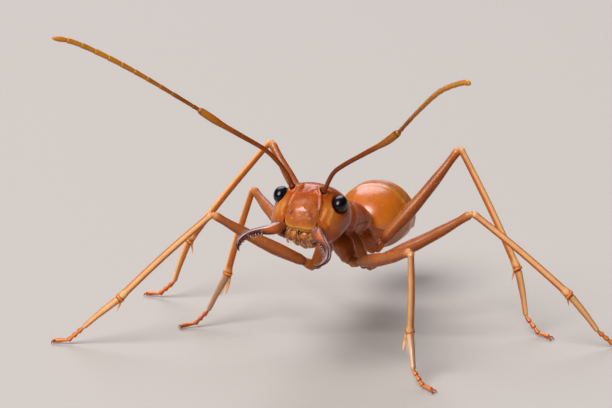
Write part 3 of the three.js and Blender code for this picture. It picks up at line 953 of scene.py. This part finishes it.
def eye(side):
    """A smooth domed eye."""
    form = bead(EYE["at"], EYE["half"], *EYE_GRID, hair=0.0)
    form.points = form.points * (SIDES[side], 1, 1)
    return piece(f"eye_{side}", form.moved(on_head), "eye_lens")


def jaw_place(side):
    """The change of place from a mandible's own frame (out, forward, up) to the ant's."""
    hand, pose = SIDES[side], JAW_POSE[side]
    spin = turn(Z, hand * pose["swing"]) @ turn(Y, -hand * pose["tilt"])

    def change(points):
        own = np.stack([hand * points[..., 0], -points[..., 1], points[..., 2]], -1)
        return on_head(own @ spin.T + vec(MANDIBLE["base"]) * (hand, 1, 1))

    return change


MANDIBLE_ROWS, MANDIBLE_SIDES, ROOT_ROWS = 110, 32, 12
JAW_THICK = ((0, 0.17), (0.1, 0.165), (0.34, 0.12), (0.7, 0.09), (0.92, 0.05), (1, 0.014))
JAW_SAG = 0.4  # how far the blade's middle hangs below its edges' plane, as a share of its thickness
JAW_HOOK = 0.05  # how far its tip hangs further down
DENTICLES = (
    # share along the inner edge, and length
    (0.31, 0.05), (0.36, 0.035), (0.41, 0.05), (0.46, 0.035), (0.51, 0.055), (0.56, 0.035),
    (0.61, 0.05), (0.66, 0.035), (0.71, 0.06), (0.76, 0.04), (0.82, 0.05),
)


def denticle(share, length):
    """A tooth that stands in from the blade's inner edge and leans towards its tip."""
    edge, body = (spline(MANDIBLE[name], share) for name in ("inner", "outer"))
    inward = unit(edge - body)
    ahead = unit(spline(MANDIBLE["inner"], share + 0.02) - edge)
    low = -JAW_SAG * profile(JAW_THICK, share) - JAW_HOOK * share**2
    root = [*(edge - inward * 0.035), low]
    tip = [*(edge + inward * length * 0.75 + ahead * length * 0.3), low - 0.004]
    rows, sides = DENTICLE_GRID
    t = shares(rows)
    radius = 0.026 * (1 - t) ** 0.75 + 0.002
    return sweep(line(root, tip, rows), radius, sides, dark=0.35 + 0.4 * t, glow=0.3, hair=0)


def mandible(side):
    """A sickle blade with a toothed inner edge, a long hooked tip and a broad rounded root."""
    t = 1 - (1 - shares(MANDIBLE_ROWS)) ** 1.2
    outer, inner = spline(MANDIBLE["outer"], t), spline(MANDIBLE["inner"], t)
    back = np.linspace(1, 0, ROOT_ROWS, endpoint=False)[:, None]
    outer = np.concatenate([outer[0] + back * (-0.1, -0.07), outer])[:, None]
    inner = np.concatenate([inner[0] + back * (-0.02, -0.17), inner])[:, None]
    t = np.concatenate([np.zeros((ROOT_ROWS, 1)), t[:, None]])
    thick = profile(JAW_THICK, t)
    thick[:ROOT_ROWS] *= np.sqrt(1 - 0.9 * back**2)
    angle = ring_angles(MANDIBLE_SIDES)
    out, high = np.cos(angle), np.sin(angle)
    flat = (outer + inner) / 2 + out[:, None] * (outer - inner) / 2
    knife = np.where(out < 0, 1 + 0.6 * out, 1 + 0.15 * out)
    groove = 0.02 * bell(out - 0.45, 0.2) * (high > 0) * step(0.02, 0.2, t) * step(0.9, 0.6, t)
    over = high * knife * thick / 2 - JAW_SAG * thick - JAW_HOOK * t**2 - groove
    inside = step(-0.1, -0.85, out)
    # The amber at the root: partly its thin base's own colour, partly painted glow of light through it.
    glow = step(0.45, 0.15, t) * bell(out + 0.15, 0.6) * (0.5 + 0.35 * bell(t - 0.2, 0.12))
    dark = 0.25 + 0.65 * inside * step(0.1, 0.3, t) + 0.6 * step(0.78, 1.0, t)
    # The root is darkened with painted shade where it lies under the clypeus's corner.
    dark = dark * (1 - 0.8 * glow) + 0.5 * bell(out - 0.8, 0.2) + 0.3 * step(0.08, 0.0, t)
    hair = 0.1 + 0.9 * inside * step(0.05, 0.2, t)
    blade = tube(np.concatenate([flat, over[..., None]], -1), dark=dark, glow=glow, hair=hair, lie=Y)
    form = joined([blade, *(denticle(*tooth) for tooth in DENTICLES)])
    return piece(f"mandible_{side}", form.moved(jaw_place(side)), "jaw_shell", f"jaw_{side}")


LOBES = (
    # aside, back, up, half width, half length, half height
    (0.12, -0.83, 0.05, 0.1, 0.11, 0.13),
    (0.26, -0.77, 0.02, 0.1, 0.12, 0.15),
    (0.03, -0.87, 0.0, 0.042, 0.06, 0.1),
    (0.09, -0.79, -0.05, 0.12, 0.11, 0.09),
    (0.2, -0.84, -0.02, 0.055, 0.07, 0.09),
)
PALPS = (
    # radius, and the points it bends through
    (0.02, ((0.2, -0.86, 0.03), (0.25, -0.93, 0.02), (0.26, -0.96, -0.04), (0.23, -0.95, -0.1))),
    (0.016, ((0.07, -0.9, -0.01), (0.09, -0.95, -0.03), (0.08, -0.95, -0.09))),
)


def palp(hand, radius, points):
    """A jointed palp, from its root through its bends."""
    rows, sides = PALP_GRID
    swell = radius * (0.55 + 0.45 * np.sin(math.pi * np.clip(shares(rows) * 0.8 + 0.1, 0, 1)))
    points = vec(points) * (hand, 1, 1)
    paths = [line(start, end, rows) for start, end in zip(points, points[1:])]
    return [sweep(path, swell, sides, glow=0.5, dark=0.15) for path in paths]


def labrum():
    """The amber flap that hangs from the clypeus over the mouth, notched in the middle."""
    rows, columns = LABRUM_GRID
    u = np.linspace(-1, 1, columns)
    down = shares(rows)[:, None]
    drop = 0.1 * (1 - 0.35 * bell(u, 0.16) - 0.25 * np.abs(u) ** 3)
    x = (0.3 - 0.05 * down) * u
    y = -0.795 - 0.05 * (1 - u**2) - 0.03 * np.sin(math.pi * down * 0.8)
    z = 0.285 - drop * down - 0.045 * u**2
    front = np.stack([x, y, z], -1)
    back = front[:, ::-1] + (0, 0.035, 0.006)
    rings = np.concatenate([front, back], 1)
    down = down[:, 0]
    dark = 0.1 + 0.25 * step(0.8, 1.0, down)
    return tube(rings, dark=dark, glow=0.95 - 0.35 * down, hair=0.6, lie=-Z)


def mouthparts():
    """The upper lip, and below it the maxillae and the tongue with their palps."""
    forms = [labrum()]
    for hand in SIDES.values():
        for i, (aside, back, up, *half) in enumerate(LOBES):
            lobe = bead((hand * aside, back, up), half, *LOBE_GRID, lie=-Z)
            lobe.points[:, 1] += 0.006 * np.sin(lobe.points[:, 0] * 110 + i)
            # Each lobe is darkened underneath with painted shade and lightened on top with painted light.
            lobe.dark = 0.15 + 0.5 * step(0.05, -0.12, lobe.points[:, 2])
            lobe.glow = 0.1 + 0.5 * step(0.0, 0.15, lobe.points[:, 2])
            forms.append(lobe)
        for radius, points in PALPS:
            forms += palp(hand, radius, points)
    return piece("mouthparts", joined(forms).moved(on_head), "lip_shell", "mouth")


# ---- Feelers ----

SCAPE_RADIUS = (
    (0, 0.05), (0.022, 0.076), (0.045, 0.054), (0.08, 0.05), (0.45, 0.052), (0.72, 0.06),
    (0.88, 0.086), (0.955, 0.086), (0.985, 0.074), (1, 0.05),
)
FUNICULUS_LENGTHS = (0.16, 0.56) + (0.331,) * 9
FUNICULUS_OVERLAP = 0.004  # how far each joint starts inside the one before, as a share of the whole
SCAPE_SIDES = 24
FUNICLE_ROWS, FUNICLE_SIDES = 22, 18
# A joint's radius along it, as a share of its full one.
FUNICLE = ((0, 0.7), (0.08, 0.92), (0.5, 0.98), (0.86, 1.06), (0.97, 1.04), (1, 0.8))
LAST_FUNICLE = ((0, 0.6), (0.12, 0.9), (0.5, 1.08), (0.8, 0.85), (0.95, 0.45), (1, 0.12))


def funiculus_joints(lash):
    """The eleven joints along a line, sorted by the CAD node that they lie in."""
    groups = {1: [], 2: [], 3: []}
    ends = np.concatenate([[0], np.cumsum(FUNICULUS_LENGTHS)]) / sum(FUNICULUS_LENGTHS)
    share = shares(FUNICLE_ROWS)
    for i, (low, high) in enumerate(zip(ends, ends[1:])):
        middle = (low + high) / 2
        reach = low + (high - low) * share - FUNICULUS_OVERLAP * (1 - share) * (i > 0)
        shape = LAST_FUNICLE if i == len(FUNICULUS_LENGTHS) - 1 else FUNICLE
        radius = (0.046 + 0.013 * step(0.1, 0.6, low)) * profile(shape, share)
        dark = 0.3 * step(0.08, 0.0, share) + 0.15 * step(0.25, 0.0, low)
        glow = np.clip(0.25 + 0.75 * step(0.05, 0.7, middle) + 0.25 * step(0.7, 1.0, share), 0, 1)
        joint = sweep(evenly(lash, reach), radius, FUNICLE_SIDES, dark=dark, glow=glow)
        groups[1 + sum(middle > cut for cut in FUNICULUS_CUTS)].append(joint)
    return groups


def feeler(side):
    """The scape, on a ball in its socket, and the eleven joints of the funiculus."""
    points = ANTENNA[side]["scape"]
    t = np.concatenate([np.linspace(0, 0.08, 20), np.linspace(0.095, 0.94, 70), np.linspace(0.948, 1, 14)])
    dark = 0.3 * step(0.1, 0.0, t) + 0.5 * bell(t - 0.972, 0.008) + 0.25 * step(0.8, 0.3, t)
    glow = 0.5 * step(0.6, 0.95, t)
    hair = step(0.05, 0.12, t)
    form = sweep(evenly(points, t), profile(SCAPE_RADIUS, t), SCAPE_SIDES, dark=dark, glow=glow, hair=hair)
    piece(f"scape_{side}", form, "feeler_shell", f"feeler_{side}")
    groups = funiculus_joints((points[-1], *ANTENNA[side]["funiculus"]))
    for i, forms in groups.items():
        piece(f"funiculus_{side}_{i}", joined(forms), "feeler_shell", f"feeler_{side}")


# ---- Trunk and gaster ----

PLATE_ROWS, PLATE_SIDES = 70, 120
PLATE_TUCK = 0.02  # how far a plate's front lies under the plate before it, as a share of the spine
PLATE_FLARE = 0.03  # how much wider its back edge stands
# The curled back edge of a plate: how far back it lies in mm, and its share of the girth.
PLATE_CURL = ((0.012, 0.985), (0.006, 0.955), (-0.03, 0.93))
TRUNK_MARKS = {
    # How far each mark stands out in mm, and how much it darkens and lights the shell.
    "pleura": (-0.022, 0.5, 0),
    "waist": (-0.03, 0.45, 0),
    "brow": (-0.012, 0.2, 0),
    "spiracles": (0.02, 0.4, 0),
    "keel": (-0.004, 0, 0),
    "sutures": (-0.014, 0.4, 0),
    "gland": (0.03, 0, 0),
    # The coxal sockets are sunk, and darkened with painted shade.
    "sockets": (-0.03, 0.3, 0),
    # Painted shade on the underside.
    "underside": (0, 0.35, 0),
    # Painted light on top of the shoulders.
    "shoulder": (0, 0, 0.35),
}
GASTER_MARKS = {
    "belly": (-0.035, 0.15, 0),
    "edge": (0.01, 0.25, 0),
    "tail": (0, 0.35, 0),
    "all": (0, 0, 0.25),
    "flanks": (0, 0, 0.25),
}


def plate(name, spec, start, end, material, detail):
    """A shell plate over part of a spine. Its back edge flares over the next plate; its front tucks in."""
    first, last = start <= 0, end >= 1
    t = np.linspace(max(start - PLATE_TUCK, 0.004), min(end, 0.996), PLATE_ROWS)
    if first:
        t = (1 - np.cos(np.linspace(0.02, 1, PLATE_ROWS) * math.pi / 2)) * end
    if last:
        run = np.sin(np.linspace(0, 0.985, PLATE_ROWS) * math.pi / 2)
        t = start - PLATE_TUCK + (1 - start + PLATE_TUCK) * run
    angle = ring_angles(PLATE_SIDES)
    rings, heading = shell_rings(spec, t, angle)
    marks, strengths, hair = detail(t[:, None] * np.ones(PLATE_SIDES), np.sin(angle), np.cos(angle))
    lift, dark, glow = blended(marks, strengths)
    rings = rings + outward(rings) * lift[..., None]
    middle = spline(spec["spine"], t)[:, None]
    size = np.ones(len(t))
    if not first:
        size *= 0.93 + 0.07 * step(start - PLATE_TUCK, start + 0.006, t)
    if not last:
        size *= 1 + PLATE_FLARE * step(end - 0.07, end - 0.004, t)
        dark = dark + 0.2 * bell(t - end, 0.02)[:, None]
        glow = glow + 0.6 * bell(t - end + 0.012, 0.014)[:, None]
    rings = middle + (rings - middle) * size[:, None, None]
    if not last:
        edge = rings[-1] - middle[-1]
        curl = np.stack([middle[-1] + heading[-1] * back + edge * girth for back, girth in PLATE_CURL])
        rings = np.concatenate([rings, curl])
        dark, glow, heading = (np.concatenate([p, np.repeat(p[-1:], 3, 0)]) for p in (dark, glow, heading))
        hair = np.concatenate([hair, np.zeros((3, PLATE_SIDES))])
    form = tube(rings, dark=dark, glow=glow, hair=hair, lie=heading)
    return piece(name, form, material, material.split("_")[0])


def trunk_detail(along, up, out):
    """Seams of the side plates, coxal swellings, spiracles and the waist of the mesonotum."""
    high, flank = up * np.ones_like(along), np.abs(out)
    slant = high + 0.35 - 0.9 * (along - 0.3)

    def spot(at, level, rise=0.55):
        return np.hypot((along - at) * 3.3, (high - level) * rise)

    low = step(0.15, -0.1, high) * step(-0.98, -0.8, high)
    sutures = low * (bell(along - 0.47 + 0.1 * high, 0.008) + bell(along - 0.31 - 0.1 * high, 0.008))
    sutures += bell(along - 0.68 - 0.08 * high, 0.009) * step(0.05, -0.05, slant)
    spiracle = bell(spot(0.74, 0.18), 0.06) * step(0.4, 0.9, flank)
    marks = {
        "pleura": bell(slant, 0.05) * step(0.05, 0.12, along) * step(0.97, 0.9, along),
        "waist": bell(along - 0.485, 0.018) * step(-0.5, 0.1, high),
        "brow": bell(along - 0.66, 0.03) * step(0.2, 0.8, high),
        "spiracles": spiracle + bell(spot(0.505, 0.62), 0.05) * step(0.3, 0.7, flank),
        "keel": bell(out, 0.05) * step(0.0, 1.0, high) * step(0.12, 0.3, along),
        "sutures": sutures,
        "gland": bell(spot(0.86, -0.3), 0.12),
        # Painted shade in the coxal sockets and underneath, and painted light on top of the shoulders.
        "sockets": sum(bell(spot(at, -0.85, 0.6), 0.2) for at in (0.13, 0.45, 0.78)),
        "underside": step(-0.2, -0.9, high),
        "shoulder": bell(along - 0.3, 0.1) * step(-0.2, 0.6, high),
    }
    return marks, TRUNK_MARKS, 0.3 + 0.5 * step(0.2, 0.9, high)


def gaster_detail(along, up, out):
    """The step from the back plates to the belly plates."""
    high = up * np.ones_like(along)
    marks = {
        "belly": step(-0.28, -0.4, high),
        "edge": bell(high + 0.3, 0.05),
        "tail": step(0.8, 1.0, along),
        "all": np.ones_like(along),
        "flanks": bell(high - 0.2, 0.6),
    }
    return marks, GASTER_MARKS, np.ones_like(along)


NECK = {"start": (0.0, 0.6, -0.02), "end": (0, 1.12, 3.36), "rows": 50, "sides": 32, "folding": 60}


def neck():
    """The ringed soft collar between the head and the trunk."""
    t = shares(NECK["rows"])
    folds = np.sin(t * NECK["folding"])
    radius = 0.15 + 0.06 * step(0.4, 1.0, t) + 0.006 * folds
    path = line(on_head(NECK["start"]), NECK["end"], NECK["rows"])
    form = sweep(path, radius, NECK["sides"], dark=0.35 + 0.2 * folds, glow=0.1, hair=0.0)
    return piece("neck", form, "trunk_shell")


PETIOLE = {
    "path": ((0, 3.86, 2.46), (0, 4.2, 2.36), (0, 4.62, 2.25), (0, 5.02, 2.18)),
    "radius": ((0, 0.2), (0.1, 0.17), (0.35, 0.15), (0.62, 0.21), (0.8, 0.19), (0.93, 0.13), (1, 0.15)),
    "rows": 80,
    "sides": 48,
}


def petiole():
    """The waist: a slim stalk with a low rounded scale."""
    t = shares(PETIOLE["rows"])
    path = spline(PETIOLE["path"], t)
    radius = profile(PETIOLE["radius"], t)
    dark = 0.3 * step(0.85, 1, t) + 0.25 * step(0.12, 0, t)
    form = sweep(path, radius, PETIOLE["sides"], dark=dark, glow=0.25, hair=0.6)
    height = form.points[:-2, 2].reshape(PETIOLE["rows"], PETIOLE["sides"])
    top = np.clip((height - path[:, 2:]) / radius[:, None], 0, 1)
    form.points[:-2, 2] += (0.12 * top * bell(t - 0.62, 0.16)[:, None]).ravel()
    return piece("petiole", form, "trunk_shell", "trunk")


def trunk_and_gaster():
    for name, start, end in zip(("pronotum", "mesothorax", "propodeum"), TRUNK["cuts"], TRUNK["cuts"][1:]):
        plate(name, TRUNK, start, end, "trunk_shell", trunk_detail)
    for i, (start, end) in enumerate(zip(GASTER["cuts"], GASTER["cuts"][1:])):
        plate(f"gaster_{i + 1}", GASTER, start, end, "gaster_shell", gaster_detail)


# ---- Legs ----

COXA_RADIUS = {"front": 0.25, "middle": 0.21, "hind": 0.21}
RADIUS = {
    # along each part, as (share of its length, radius)
    "trochanter": ((0, 0.07), (0.15, 0.115), (0.6, 0.12), (0.9, 0.105), (1, 0.08)),
    "femur": ((0, 0.1), (0.06, 0.13), (0.3, 0.155), (0.6, 0.13), (0.88, 0.094), (0.95, 0.1), (1, 0.06)),
    "tibia": ((0, 0.05), (0.02, 0.084), (0.06, 0.074), (0.4, 0.08), (0.9, 0.082), (0.965, 0.1), (0.985, 0.09),
              (1, 0.06)),
    "collar": ((0, 0.085), (0.2, 0.112), (0.5, 0.119), (0.8, 0.112), (1, 0.075)),
    "metatarsus": ((0, 0.06), (0.04, 0.086), (0.3, 0.08), (0.75, 0.064), (0.95, 0.06), (1, 0.035)),
    "tarsomere": ((0, 0.028), (0.2, 0.04), (0.75, 0.056), (0.92, 0.06), (1, 0.034)),
    "claw_joint": ((0, 0.026), (0.2, 0.036), (0.75, 0.05), (0.92, 0.054), (1, 0.032)),
    "spur": ((0, 0.022), (0.12, 0.034), (0.5, 0.038), (0.8, 0.024), (1, 0.004)),
}
GRIDS = {
    # rows and sides of each part's mesh
    "coxa": (40, 32), "trochanter": (26, 24), "femur": (72, 24), "tibia": (72, 24), "collar": (20, 24),
    "metatarsus": (48, 18), "tarsomere": (20, 16), "claw_joint": (24, 16), "spur": (24, 14), "tooth": (5, 6),
    "claw": (14, 10), "pad": (10, 14),
}
SAG = {"femur": -0.05, "tibia": 0.035, "metatarsus": 0.015, "tarsomere": 0.0, "claw_joint": 0.008}
LIMB_HIGHLIGHT_STRENGTH = {"femur": 0.25}  # of the painted highlight bands along it
PLAIN_LIMB_HIGHLIGHT_STRENGTH = 0.9
LIMB_HIGHLIGHT_ANGLE = -60  # where the painted highlight bands lie round a limb on the left side, from its side direction
COLLAR_REACH = (0.08, 0.02)  # how far it reaches up the tibia, and past its end
SPURS = {"front": (0.46, 1.0), "middle": (0.26, 0.6), "hind": (0.26, 0.6)}  # length, and share of the radius
COMB_TEETH = 22


def knee_of(hip, ankle, femur, tibia, swivel):
    """The knee of a leg that bends upwards and is then swivelled about the line from hip to ankle."""
    span = ankle - hip
    reach = np.linalg.norm(span)
    along = span / reach
    foot = (femur**2 - tibia**2 + reach**2) / (2 * reach)
    height = math.sqrt(femur**2 - foot**2)
    up = unit(Z - along * along[2])
    across = np.cross(along, up)
    a = math.radians(swivel)
    return hip + along * foot + up * height * math.cos(a) + across * height * math.sin(a)


def leg_line(pair, stance, hand):
    """The joints of a leg, laid out from the toe back to the ankle as in the CAD part."""
    heading = stance["heading"]
    plan, slope = stance["aim"]
    toe = vec((*stance["toe"], TOE_HEIGHT))
    wrist = toe - bearing((heading, -CLAW_SLOPE)) * pair["claw"]
    ball = wrist - bearing((heading, -TARSOMERE_SLOPE)) * pair["tarsomeres"]
    ankle = ball - bearing((plan, -slope)) * pair["metatarsus"]
    hip = vec(stance["hip"])
    knee = knee_of(hip, ankle, pair["femur"], pair["tibia"], stance["swivel"])
    root = vec(pair["root"]) * (hand, 1, 1)
    thigh = hip + (knee - hip) * TROCHANTER / pair["femur"]
    return root, hip, thigh, knee, ankle, ball, wrist, toe


def limb_paint(part, t):
    """How dark and how light a joint of a leg is along its length."""
    if part == "femur":
        # The femur is darkened along most of its length with painted shade, and lightened at the knee with a
        # painted highlight.
        return 0.4 * step(1.0, 0.85, t) + 0.3 * step(0.05, 0, t), 0.12 + 0.4 * step(0.93, 1.0, t)
    if part == "tibia":
        return 0.1 * step(0.3, 0.0, t), 0.5 + 0.5 * step(0.06, 0.0, t) + 0.5 * bell(t - 0.945, 0.02)
    if part == "metatarsus":
        return 0.5 * bell(np.arange(len(t)), 4), np.full(len(t), 0.7)
    glow = 0.3 if part == "tarsomere" else 0.4
    return 0.35 * step(0.05, 0.0, t) + 0.6 * step(0.95, 0.972, t), np.full(len(t), glow)


def limb(part, start, end, across, hand):
    """A joint of a leg, bowed in its plane, with painted highlight bands along two opposite faces, the faces
    between less pale.
    """
    rows, sides = GRIDS[part]
    t = eased(rows)
    bow = unit(np.cross(end - start, across))
    path = start + (end - start) * t[:, None] + bow * (SAG[part] * np.sin(math.pi * t))[:, None]
    dark, glow = limb_paint(part, t)
    # Painted highlight: two opposite faces are made paler and the faces between less pale.
    face = np.abs(np.cos(ring_angles(sides) - math.radians(LIMB_HIGHLIGHT_ANGLE * hand)))
    bands = LIMB_HIGHLIGHT_STRENGTH.get(part, PLAIN_LIMB_HIGHLIGHT_STRENGTH) * (step(0.6, 1.0, face) - 0.5)
    return sweep(path, profile(RADIUS[part], t), sides, across, dark=dark, glow=glow[:, None] + bands)


def coxa(size, root, hip, across):
    """The hip joint, from its root in the trunk. size is its largest radius."""
    rows, sides = GRIDS["coxa"]
    t = shares(rows)
    middle = (root + hip) / 2 + unit(hip - root) * 0.05
    radius = profile(((0, size * 0.7), (0.3, size), (0.7, size * 0.78), (0.92, 0.12), (1, 0.09)), t)
    dark = 0.35 * step(0.85, 1.0, t) + 0.25
    return sweep(spline((root, middle, hip), t), radius, sides, across, dark=dark, glow=0.06, hair=0.6)


def straight(part, start, end, across, **paint):
    """A straight part of a leg."""
    rows, sides = GRIDS[part]
    return sweep(line(start, end, rows), profile(RADIUS[part], shares(rows)), sides, across, **paint)


def trochanter(hip, thigh, across):
    t = shares(GRIDS["trochanter"][0])
    dark = 0.2 + 0.3 * step(0.2, 0, t) + 0.3 * step(0.8, 1, t)
    return straight("trochanter", hip, thigh, across, dark=dark, glow=0.08, hair=0.6)


def collar(ankle, knee, across):
    """The swollen ring round the end of the tibia."""
    shin = unit(ankle - knee)
    up, past = COLLAR_REACH
    t = shares(GRIDS["collar"][0])
    dark = 0.45 * bell(t, 0.2) + 0.35 * bell(t - 1, 0.3)
    glow = bell(t - 0.45, 0.25)
    return straight("collar", ankle - shin * up, ankle + shin * past, across, dark=dark, glow=glow, hair=0)


def tarsus(ball, wrist, toe, across, hand):
    """The three short joints of the foot, and the claw joint."""
    ends = line(ball, wrist, 4)
    joints = [limb("tarsomere", start, end, across, hand) for start, end in zip(ends, ends[1:])]
    return joined([*joints, limb("claw_joint", wrist, toe, across, hand)])


def spur(ankle, down, inward, length, size):
    """A pointed blade that hangs from the end of the tibia, beside the foot."""
    rows, sides = GRIDS["spur"]
    t = shares(rows)
    path = ankle + down * (length * t - 0.02)[:, None] + inward * (0.075 + 0.12 * t)[:, None]
    dark = 0.3 * bell(t - 0.35, 0.16)
    radius = profile(RADIUS["spur"], t) * size
    return sweep(path, radius, sides, inward, 0.45, dark=dark, glow=0.75, hair=0)


def comb(ankle, ball, inward):
    """The row of curved teeth on the foot across from a front leg's spur, for cleaning the feelers."""
    rows, sides = GRIDS["tooth"]
    forms = []
    for share in np.linspace(0.06, 0.5, COMB_TEETH):
        root = ankle + (ball - ankle) * share + inward * profile(RADIUS["metatarsus"], share) * 0.8
        tip = root + inward * 0.045 + (ball - ankle) * 0.03
        forms.append(sweep(line(root, tip, rows), np.linspace(0.009, 0.002, rows), sides, glow=0.9, hair=0))
    return forms


def claws(toe, ahead):
    """Two hooked claws and the soft pad between them, their tips on the floor."""
    side = unit(np.cross(Z, ahead))
    rows, sides = GRIDS["claw"]
    t = shares(rows)
    bend = t * 1.9
    reach, drop = 0.085 * np.sin(bend), 0.055 * (1 - np.cos(bend))
    rise = 0.012 * np.sin(math.pi * t) - drop
    forms = []
    for way in (1, -1):
        path = toe + side * (way * (0.02 + 0.045 * np.sin(t * 1.6)))[:, None]
        path = path + ahead * reach[:, None] + Z * rise[:, None]
        path[:, 2] = np.maximum(path[:, 2], 0.004 + 0.02 * (1 - t))
        radius = 0.018 * (1 - t) ** 0.6 + 0.0025
        forms.append(sweep(path, radius, sides, dark=0.3 + 0.6 * t, glow=0.2, hair=0))
    pad = bead((0, 0, 0), (0.03, 0.05, 0.022), *GRIDS["pad"], glow=0.9, hair=0)
    pad.points = pad.points @ np.stack([side, ahead, Z]) + toe + ahead * 0.03 - Z * 0.035
    return [*forms, pad]


def leg(pair_name, side):
    """A leg, from the root of its coxa to its claws."""
    pair, hand = LEG_PAIRS[pair_name], SIDES[side]
    root, hip, thigh, knee, ankle, ball, wrist, toe = leg_line(pair, pair[side], hand)
    across = unit(np.cross(knee - hip, ankle - knee))
    made = {
        "coxa": coxa(COXA_RADIUS[pair_name], root, hip, across),
        "trochanter": trochanter(hip, thigh, across),
        "femur": limb("femur", thigh, knee, across, hand),
        "tibia": limb("tibia", knee, ankle, across, hand),
        "tarsus": tarsus(ball, wrist, toe, across, hand),
    }
    name = f"{pair_name}_{side}"
    for part, form in made.items():
        shell = "foot" if part == "tarsus" else "leg"
        piece(f"{name}_{part}", form, f"{shell}_shell", f"{shell}_{name}")
    metatarsus = limb("metatarsus", ankle, ball, across, hand)
    shell = "thin_shell" if pair_name == "front" else "leg_shell"
    piece(f"{name}_metatarsus", metatarsus, shell, f"leg_{name}", solid=False)
    down = unit(ball - ankle)
    inward = unit(-hand * X + down * hand * down[0])
    blades = [spur(ankle, down, inward, *SPURS[pair_name])]
    if pair_name == "front":
        blades += comb(ankle, ball, inward)
    piece(f"{name}_spur", joined(blades), "leg_shell", solid=False)
    piece(f"{name}_collar", collar(ankle, knee, across), "foot_shell", solid=False)
    ahead = bearing((pair[side]["heading"], 0))
    piece(f"{name}_claws", joined(claws(toe, ahead)), "foot_shell", solid=False)


# ---- The whole ant ----

head_capsule()
clypeus()
mouthparts()
neck()
petiole()
trunk_and_gaster()
for side in SIDES:
    eye(side)
    mandible(side)
    feeler(side)
    for pair_name in LEG_PAIRS:
        leg(pair_name, side)

coats()
